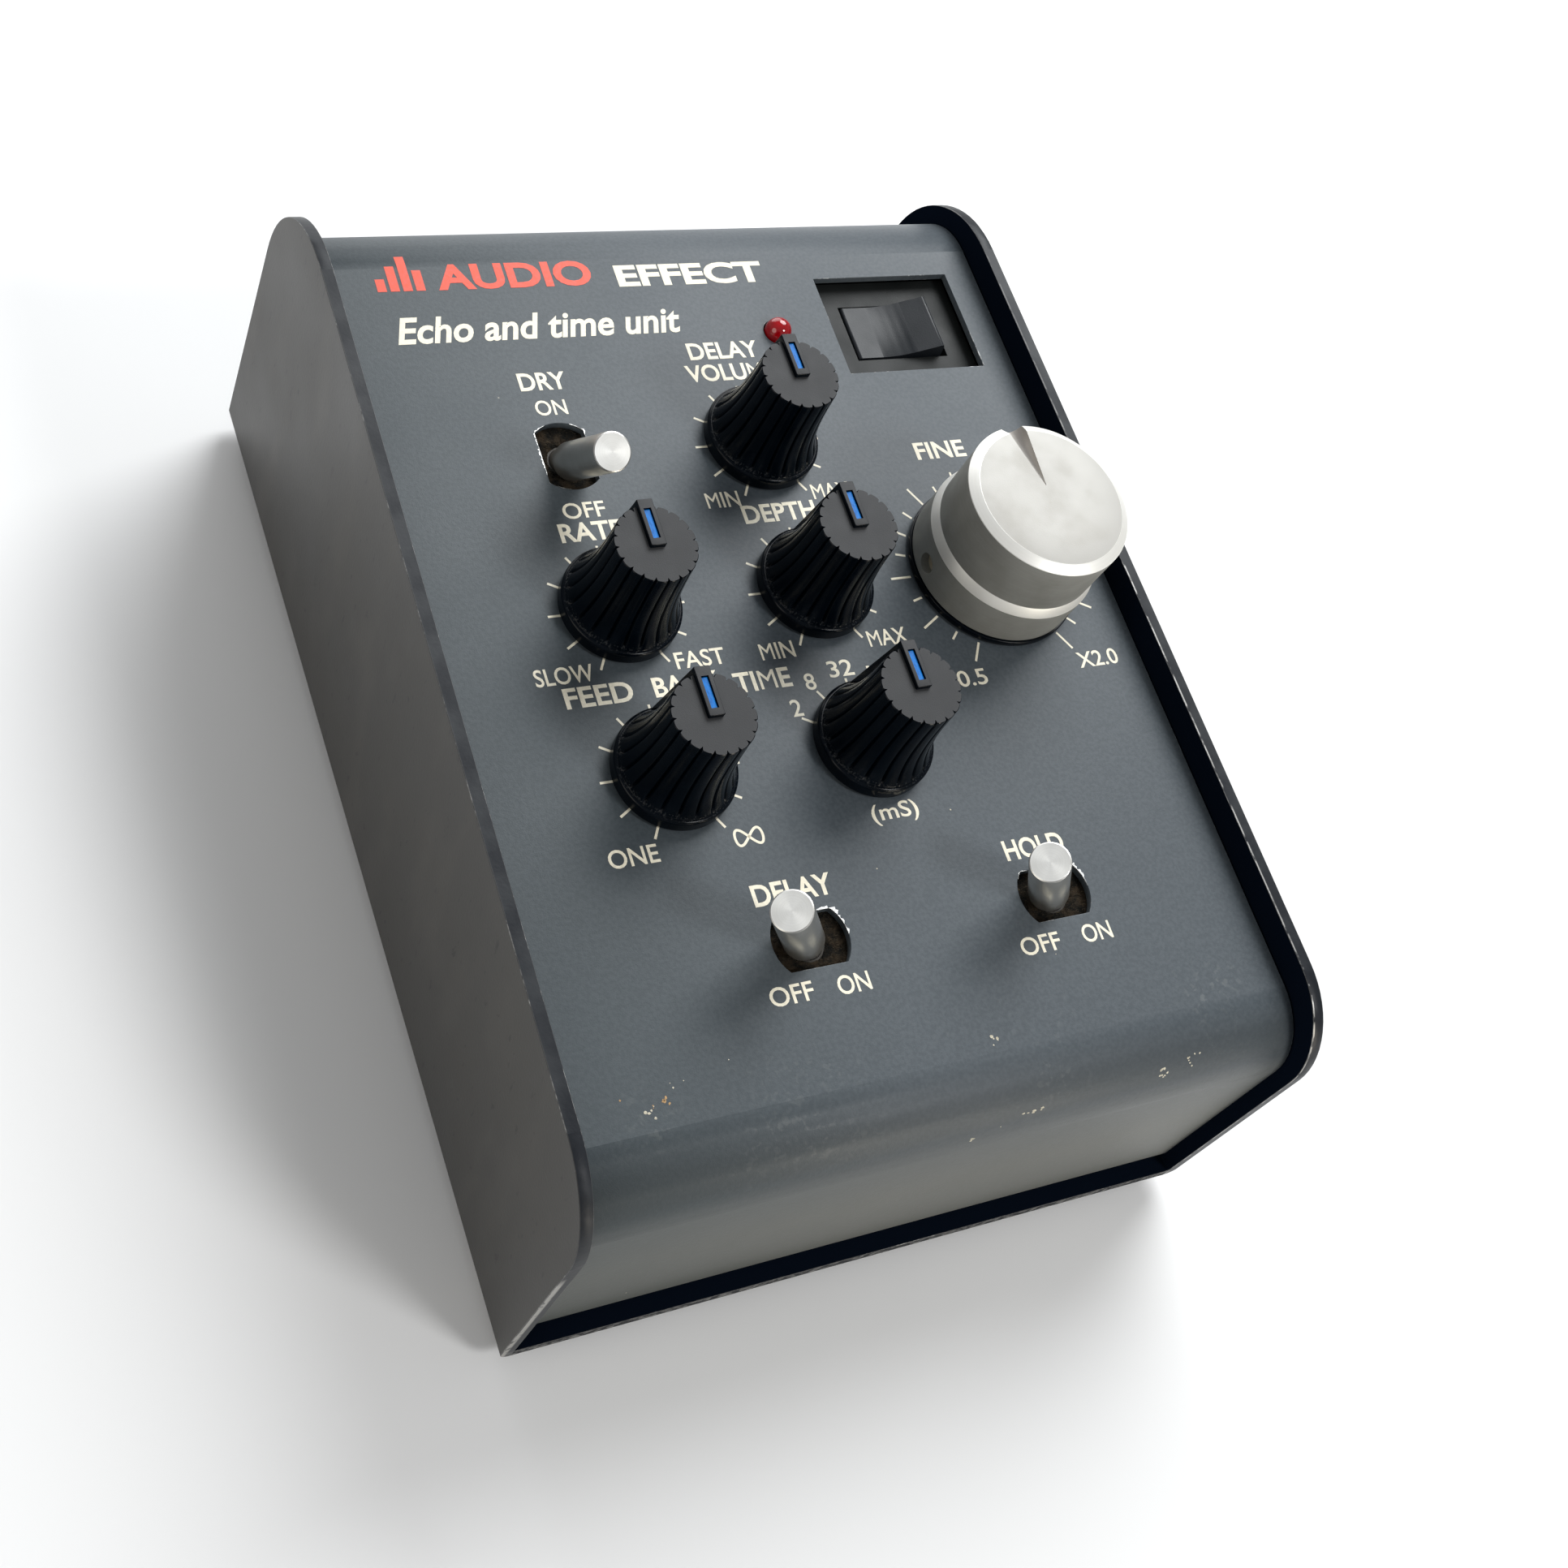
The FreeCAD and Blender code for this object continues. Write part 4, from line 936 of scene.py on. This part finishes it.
# by control: words, millimetres across and up from its middle, width
TITLE_WORDS = {
    "delay_volume": (("DELAY", 0.0, 16.5, 11.6), ("VOLUME", 0.0, 12.6, 14.6)),
    "rate": (("RATE", 0.0, 12.4, 9.4),),
    "depth": (("DEPTH", -0.6, 12.7, 11.7),),
    "feedback": (("FEED", -6.4, 12.3, 9.7), ("BACK", 6.4, 12.3, 9.9)),
    "time": (("TIME", -12.4, 11.4, 8.5),),
    "fine": (("FINE", -0.1, 20.9, 8.7),),
    "dry": (("DRY", 0.0, 12.6, 7.2),),
    "delay": (("DELAY", -0.2, 7.0, 11.6),),
    "hold": (("HOLD", -0.4, 6.9, 9.6),),
}
SMALL_WORDS = {
    "delay_volume": MIN_MAX,
    "depth": MIN_MAX,
    "rate": (("SLOW", -10.3, -8.8, 8.3), ("FAST", 9.5, -8.7, 7.4)),
    "feedback": (("ONE", -8.6, -10.5, 6.9),),
    "time": (("2", -8.9, 6.6, None), ("8", -5.5, 10.2, None), ("32", -0.2, 11.6, 3.9),
             ("128", 6.4, 10.2, 5.2), ("512", 11.0, 6.2, 5.4)),
    "fine": (("0.5", -10.1, -17.0, 4.9), ("X2.0", 11.9, -16.6, 7.0)),
    "dry": (("ON", 0.0, 8.1, 4.7), ("OFF", -0.1, -8.9, 6.3)),
    "delay": (("OFF", -5.1, -6.4, 6.2), ("ON", 3.8, -6.6, 4.7)),
    "hold": (("OFF", -5.2, -6.6, 6.2), ("ON", 4.0, -6.5, 4.7)),
}
UNIT_WORDS = {"time": (("(mS)", 0.0, -10.5, 7.2),)}
UNIT = 3.1
SIGN_ASIDE = 7.8
SIGN_BELOW = 10.4


def legends():
    """Names and limits of the controls: plain words and numbers."""
    made = []
    for table, height, weight in ((TITLE_WORDS, TITLE, BOLD), (SMALL_WORDS, SMALL, LIGHT),
                                  (UNIT_WORDS, UNIT, LIGHT)):
        for control, rows in table.items():
            across, up = PLACES[control]
            made += [words(text, across + aside, up + above, height, width, weight)
                     for text, aside, above, width in rows]
    across, up = PLACES["feedback"]
    made.append(endless_sign(across + SIGN_ASIDE, up - SIGN_BELOW))
    return joined("legends", made, [cream_ink])


def endless_sign(across, up):
    """Lying figure of eight, drawn as one band of even width."""
    half_width, half_height, thick = 2.0, 1.107, 0.36
    count = 72
    middle = [Vector((half_width * math.sin(turn), half_height * math.sin(2 * turn)))
              for turn in even_angles(count)]
    points = []
    for step, spot in enumerate(middle):
        way = (middle[(step + 1) % count] - middle[step - 1]).normalized()
        side = Vector((-way.y, way.x)) * (thick / 2)
        near, far = spot + side, spot - side
        for edge, height in ((near, INK_LOW), (near, INK_HIGH), (far, INK_HIGH), (far, INK_LOW)):
            points.append((across + edge.x, up + edge.y, height))
    return to_mesh("endless", points, loop_faces(count, 4))


METER_LEFT = -46.2
METER_FOOT = 53.8
METER_BAR = 1.35
METER_GAP = 0.55
METER_HEIGHTS = (2.2, 4.4, 6.2, 3.6)
HEADING_WEIGHT = 0.035
SUBTITLE_LEAN = 0.32


def heading():
    """Generic level-meter mark and plain words at the head of the panel."""
    red = []
    for number, tall in enumerate(METER_HEIGHTS):
        x = METER_LEFT + number * (METER_BAR + METER_GAP)
        red.append(box_prism(x, METER_FOOT, x + METER_BAR, METER_FOOT + tall, INK_LOW, INK_HIGH))
    red.append(words("AUDIO", -25.2, 56.0, 4.6, 24.0, HEADING_WEIGHT))
    cream = [words("EFFECT", 2.9, 55.2, 4.0, 24.5, HEADING_WEIGHT),
             words("Echo and time unit", -23.5, 46.9, 4.6, 44.0, BOLD, SUBTITLE_LEAN)]
    return bent(joined("heading_red", red, [red_ink])), bent(joined("heading_cream", cream, [cream_ink]))


REAR_BEND_RADIUS = 12.0
PANEL_REACH = 69.89
BEND_CUTS = 8
CUT_STEP = 0.4


def bent(mesh):
    """Lets print near the panel's rear end follow the bend there."""
    start = PANEL_REACH - REAR_BEND_RADIUS
    work = bmesh.new()
    work.from_mesh(mesh)
    for step in range(BEND_CUTS):
        geometry = list(work.verts) + list(work.edges) + list(work.faces)
        bmesh.ops.bisect_plane(work, geom=geometry, plane_co=(0, (start + CUT_STEP * step) * MM, 0),
                               plane_no=(0, 1, 0), dist=1e-7)
    for vertex in work.verts:
        beyond = max(0.0, vertex.co.y / MM - start)
        vertex.co.z -= (REAR_BEND_RADIUS - math.sqrt(REAR_BEND_RADIUS ** 2 - beyond ** 2)) * MM
    work.to_mesh(mesh)
    work.free()
    return mesh


REAR_WORDS = {"input_socket": "INPUT", "output_socket": "OUTPUT", "power_inlet": "DC IN"}
REAR_WORDS_ABOVE = 11.5
SOCKET_STANDS_OUT = 1.0


def rear_words():
    """Words over the rear sockets, in the rear face's own frame seen from behind."""
    signs = []
    for node, text in REAR_WORDS.items():
        low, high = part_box(node)
        signs.append(words(text, -(low.x + high.x) / 2 / MM, 0, SMALL, None, LIGHT))
    return joined("rear_legends", signs, [cream_ink])


def add_print():
    """Ticks, legends and heading on the panel, and words on the rear."""
    red, cream = heading()
    for name, mesh in (("ticks", ticks_mesh()), ("legends", legends()), ("heading_red", red),
                       ("heading_cream", cream)):
        add_piece("printed_" + name, mesh, on_panel(0, 0))
    mounts = {mount["name"]: mount for mount in frame["record"]["mounts"]}
    rear = Vector(mounts["input_socket"]["pos_m"]) + (OUT * REAR_WORDS_ABOVE - ALONG * SOCKET_STANDS_OUT) * MM
    rear.x = 0
    add_piece("printed_rear_legends", rear_words(), axes_matrix(rear, ACROSS * -1, OUT, ALONG))


# ---- chips in the paint
BEND_START = -69.27
BEND_RADIUS = 9.6
RAY_START = 30.0
CHIP_HEIGHTS = (0.003, 0.022)


def shell_spot(tree, across, along):
    """Point and outward direction on the shell; along is counted from the start of the front bend."""
    if along < 0:
        aim = on_panel(across, BEND_START - along, RAY_START).translation
        way = -OUT
    else:
        turn = min(along / BEND_RADIUS, math.pi / 2 - SLOPE)
        way = -(OUT * math.cos(turn) - ALONG * math.sin(turn))
        beyond = max(0.0, along - BEND_RADIUS * turn)
        centre = on_panel(across, BEND_START, -BEND_RADIUS).translation
        aim = centre - way * RAY_START * MM + Vector((0, 0, -beyond * MM))
    hit, normal, _, _ = tree.ray_cast(aim, way)
    return hit, -normal if normal.dot(way) > 0 else normal


def flake(rng, spot, normal, size, stretch):
    """Irregular thin chip lying on the surface, stretched across the panel."""
    side = normal.cross(ACROSS).normalized()
    ahead = side.cross(normal).normalized()
    count = rng.randint(6, 9)
    outline = []
    for step in range(count):
        turn = 2 * math.pi * step / count + rng.uniform(-0.25, 0.25)
        reach = size / 2 * rng.uniform(0.55, 1.15)
        outline.append((ahead * math.cos(turn) * stretch + side * math.sin(turn)) * reach)
    points = [spot / MM + edge + normal * height for height in CHIP_HEIGHTS for edge in outline]
    return to_mesh("flake", points, slab_faces(count))


LONE_SPECKS = ((-38.3, 42.0), (19.0, -10.6), (-31.0, -6.6), (12.0, -32.6), (22.5, -23.6), (-2.0, -26.6))
# middle across and along, scatter across and along, how many, size, stretch
CREAM_CHIPS = (
    (-42.2, -2.8, 0.9, 0.7, 6, 0.42, 1.0),
    (-38.9, -4.2, 0.6, 0.9, 3, 0.35, 1.0),
    (5.5, -2.3, 0.5, 0.9, 4, 0.45, 1.0),
    (30.4, 8.2, 0.8, 0.5, 10, 0.42, 1.0),
    (34.6, 6.8, 1.4, 0.6, 9, 0.34, 1.0),
    (10.3, 8.9, 1.1, 0.15, 7, 0.35, 1.8),
    (1.1, 11.4, 0.5, 0.15, 3, 0.45, 1.6),
    (4.9, 10.3, 0.2, 0.2, 1, 0.35, 1.0),
    *((*spot, 0.3, 0.3, 1, 0.35, 1.0) for spot in LONE_SPECKS),
)
TAN_CHIPS = (
    (-40.6, -3.4, 0.35, 0.4, 4, 0.7, 1.0),
    (-45.8, -4.5, 0.15, 0.15, 1, 0.45, 1.0),
    (-42.0, -3.0, 0.3, 0.6, 2, 0.4, 1.0),
)


def add_chips():
    """Cream and tan chips about the front bend, and loose specks on the panel."""
    rng = random.Random(11)
    shell = NODES["top_shell"].data
    tree = BVHTree.FromPolygons([v.co for v in shell.vertices], [p.vertices for p in shell.polygons])
    for tone, clusters, finish in (("cream", CREAM_CHIPS, cream_chip), ("tan", TAN_CHIPS, tan_chip)):
        chips = []
        for across, along, scatter_across, scatter_along, count, size, stretch in clusters:
            for _ in range(count):
                x = across + rng.gauss(0, scatter_across)
                y = along + rng.gauss(0, scatter_along)
                spot, normal = shell_spot(tree, x, y)
                chips.append(flake(rng, spot, normal, size * rng.uniform(0.4, 1.2), stretch))
        add_piece("paint_chips_" + tone, joined("chips_" + tone, chips, [finish]), Matrix.Identity(4))


SLOT_HALF = 5.5
SLOT_SIDE = 3.7
# slot, start and end of the strip in degrees from the slot's long way, greatest width
BARE_STRIPS = (("delay", 62, -2, 0.55), ("hold", 70, 6, 0.42), ("hold", 150, 128, 0.2),
               ("dry", 20, 128, 0.22), ("dry", -20, -58, 0.24), ("dry", 150, 172, 0.14))


def slot_edge(turn):
    """Distance from a slot's middle to its edge, in a direction of its own frame."""
    return min(SLOT_HALF, SLOT_SIDE / max(abs(math.sin(turn)), 1e-6))


def bare_rim(rng, name, start, end, widest):
    """Strip of bright bare steel beside a slot's edge, ragged outside, and down its cut wall."""
    middle = Vector(TOGGLES[name])
    steps = max(6, int(abs(end - start) / 3))
    points = []
    for step in range(steps + 1):
        share = step / steps
        turn = math.radians(start + (end - start) * share)
        edge = slot_edge(turn)
        fade = math.sin(math.pi * share) ** 0.5
        wide = max(0.0, widest * fade * rng.uniform(-0.35, 1.25))
        real = turn + math.radians(SLOT_TURNS[name])
        way = Vector((math.cos(real), math.sin(real)))
        near, far = middle + way * (edge - 0.02), middle + way * (edge + wide)
        points += [(near.x, near.y, -0.2), (near.x, near.y, INK_HIGH), (far.x, far.y, INK_HIGH),
                   (far.x, far.y, INK_LOW - 0.01)]
    last = 4 * steps
    ends = [(0, 1, 2, 3), (last, last + 3, last + 2, last + 1)]
    return to_mesh("rim", points, loop_faces(steps + 1, 4, closed=False) + ends)


def add_bare_rims():
    """Bare strips along the slots' worn edges."""
    rng = random.Random(5)
    strips = [bare_rim(rng, *strip) for strip in BARE_STRIPS]
    add_piece("bare_slot_edges", joined("bare_rims", strips, [bare_chip]), on_panel(0, 0))


# ---- felt under the toggle slots
PAD_LENGTH = 15.0
PAD_WIDTH = 12.0
PAD_HEIGHTS = (-2.3, -1.2)
PAD_OPENING = 2.3
PAD_POINTS = 96
TOP_RINGS = 14
FIBRES = 220
FIBRE_WIDTH = 0.035
FELT_SHARP = 80.0


def felt_sheet(rng):
    """Felt sheet with a torn round opening and a lumpy top."""
    low, high = PAD_HEIGHTS
    wave = [(rng.randint(3, 9), rng.uniform(0, 6.28), rng.uniform(0.01, 0.035)) for _ in range(5)]
    rings = [(0.0, low), (0.0, high - 0.35), (0.02, high - 0.12)]
    rings += [(step / TOP_RINGS, high - 0.06) for step in range(1, TOP_RINGS)]
    rings += [(1.0, high - 0.15), (1.0, low)]
    points = []
    for share, height in rings:
        for angle in even_angles(PAD_POINTS):
            c, s = math.cos(angle), math.sin(angle)
            edge = min(PAD_LENGTH / 2 / max(abs(c), 1e-6), PAD_WIDTH / 2 / max(abs(s), 1e-6))
            opening = PAD_OPENING + 0.1 + sum(a * math.sin(k * angle + p) for k, p, a in wave)
            radius = opening + (edge - opening) * share
            lump = rng.uniform(-0.14, 0.05) if height > low and share < 1 else 0.0
            points.append((radius * c, radius * s, height + lump))
    return to_mesh("felt_sheet", points, loop_faces(len(rings), PAD_POINTS))


def felt_fibres(rng):
    """Stray fibres over the sheet, none across its opening."""
    top = PAD_HEIGHTS[1]
    fibres = []
    for _ in range(FIBRES):
        angle = rng.uniform(0, 2 * math.pi)
        start = PAD_OPENING + rng.uniform(0.05, 2.4)
        root = Vector((start * math.cos(angle), start * math.sin(angle), top - rng.uniform(0.08, 0.2)))
        lie = angle + rng.uniform(-2.2, 2.2)
        reach = rng.uniform(0.4, 1.1)
        tip = root + Vector((math.cos(lie), math.sin(lie), 0)) * reach
        if tip.xy.length < PAD_OPENING:
            continue
        tip.z = top - rng.uniform(0.03, 0.12)
        side = Vector((-math.sin(lie), math.cos(lie), 0)) * FIBRE_WIDTH
        lift = Vector((0, 0, 0.05))
        points = [root + side, root - side, root + lift, tip + side * 0.5, tip - side * 0.5, tip + lift * 0.4]
        faces = [(0, 1, 2), (5, 4, 3), (0, 3, 4, 1), (1, 4, 5, 2), (2, 5, 3, 0)]
        fibres.append(to_mesh("fibre", points, faces))
    return fibres


def add_felt():
    """Torn felt pad under each toggle's slot."""
    rng = random.Random(23)
    pads = []
    for name, (across, up) in TOGGLES.items():
        pad = joined("felt", [felt_sheet(rng)] + felt_fibres(rng), [felt])
        pad.transform(Matrix.Translation(Vector((across, up, 0)) * MM)
                      @ Matrix.Rotation(math.radians(SLOT_TURNS[name]), 4, "Z"))
        pads.append(pad)
    add_piece("felt_pads_torn", joined("felt_pads", pads, [felt], FELT_SHARP), on_panel(0, 0), "case",
              ["felt_dust_pads"])


# ---- build
paint_nodes()
black_edge = worn_edge("black_edge", (0.030, 0.030, 0.031), 0.53, 0.66, (0.34, 0.34, 0.33))
round_edges("base_chassis", 0.13, black_edge)
round_edges("top_shell", 0.12, worn_edge("slate_edge", PANEL_SLATE[0], 0.56, 0.66))
for softened, radius in (("rocker_housing", 0.25), ("rocker_cap", 0.35), ("socket_nuts", 0.25),
                         ("socket_washers", 0.12), ("power_inlet", 0.25), ("rubber_feet", 0.3),
                         ("fine_knob_base_ring", 0.15)):
    round_edges(softened, radius)
add_knobs()
add_dial()
add_levers()
add_print()
add_chips()
add_bare_rims()
add_felt()


# ---- floor, light and camera
FLOOR_HALF = 3000.0


def add_floor():
    """Wide plain pale floor."""
    finish = Finish("pale_floor")
    cloud = finish.noise(120.0, 3.0)
    finish.use("Base Color", finish.mix(cloud, (0.84, 0.84, 0.84), (0.88, 0.88, 0.88)))
    finish.use("Roughness", finish.vary(cloud, 0.55, 0.68))
    corners = [(x * FLOOR_HALF, y * FLOOR_HALF, 0) for x, y in ((-1, -1), (1, -1), (1, 1), (-1, 1))]
    linked("floor", to_mesh("floor", corners, [(0, 1, 2, 3)], [finish.material]))


LIGHT_TARGET = (0, 0, 0.04)
# name, place in metres, disk size in metres, watts, colour
LIGHTS = (
    ("overhead", (0.56, 0.56, 0.88), 0.8, 12.5, (0.97, 0.99, 1.0)),
    ("key_right", (0.46, -0.72, 0.90), 0.3, 5.0, (1.0, 1.0, 1.0)),
    ("fill_left", (-0.9, -0.2, 0.45), 0.7, 2.4, (1.0, 0.96, 0.88)),
    ("rear_sky", (0.1, 1.0, 0.40), 0.9, 4.2, (0.98, 0.99, 1.0)),
    ("front_warm", (0.45, -1.0, 0.06), 0.4, 5.0, (1.0, 0.92, 0.78)),
)
SKY_COLOR = (0.93, 0.96, 1.0, 1.0)
SKY_STRENGTH = 0.28


def add_lights():
    """Soft disks turned to the object, and an even pale sky."""
    for name, spot, size, power, color in LIGHTS:
        lamp = bpy.data.lights.new(name, "AREA")
        lamp.shape = "DISK"
        lamp.size = size
        lamp.energy = power
        lamp.color = color
        away = Vector(spot) - Vector(LIGHT_TARGET)
        turn = away.to_track_quat("Z", "Y").to_matrix().to_4x4()
        linked(name, lamp, Matrix.Translation(Vector(spot)) @ turn)
    world = bpy.data.worlds.new("studio")
    world.use_nodes = True
    sky = world.node_tree.nodes["Background"].inputs
    sky["Color"].default_value = SKY_COLOR
    sky["Strength"].default_value = SKY_STRENGTH
    bpy.context.scene.world = world


CAMERA_SPOT = (-0.13319, -0.13251, 0.26147)
CAMERA_TURN = (34.451, -17.498, -19.822)
CAMERA_LENS = 46.06
CAMERA_SHIFT = (0.0611, -0.0555)


def add_camera():
    camera = bpy.data.cameras.new("camera")
    camera.lens = CAMERA_LENS
    camera.sensor_width = 36.0
    camera.shift_x, camera.shift_y = CAMERA_SHIFT
    camera.clip_start = 0.01
    holder = linked("camera", camera)
    holder.location = CAMERA_SPOT
    holder.rotation_euler = Euler([math.radians(a) for a in CAMERA_TURN], "XYZ")
    bpy.context.scene.camera = holder
    bpy.context.scene.view_settings.view_transform = "Standard"

add_floor()
add_lights()
add_camera()
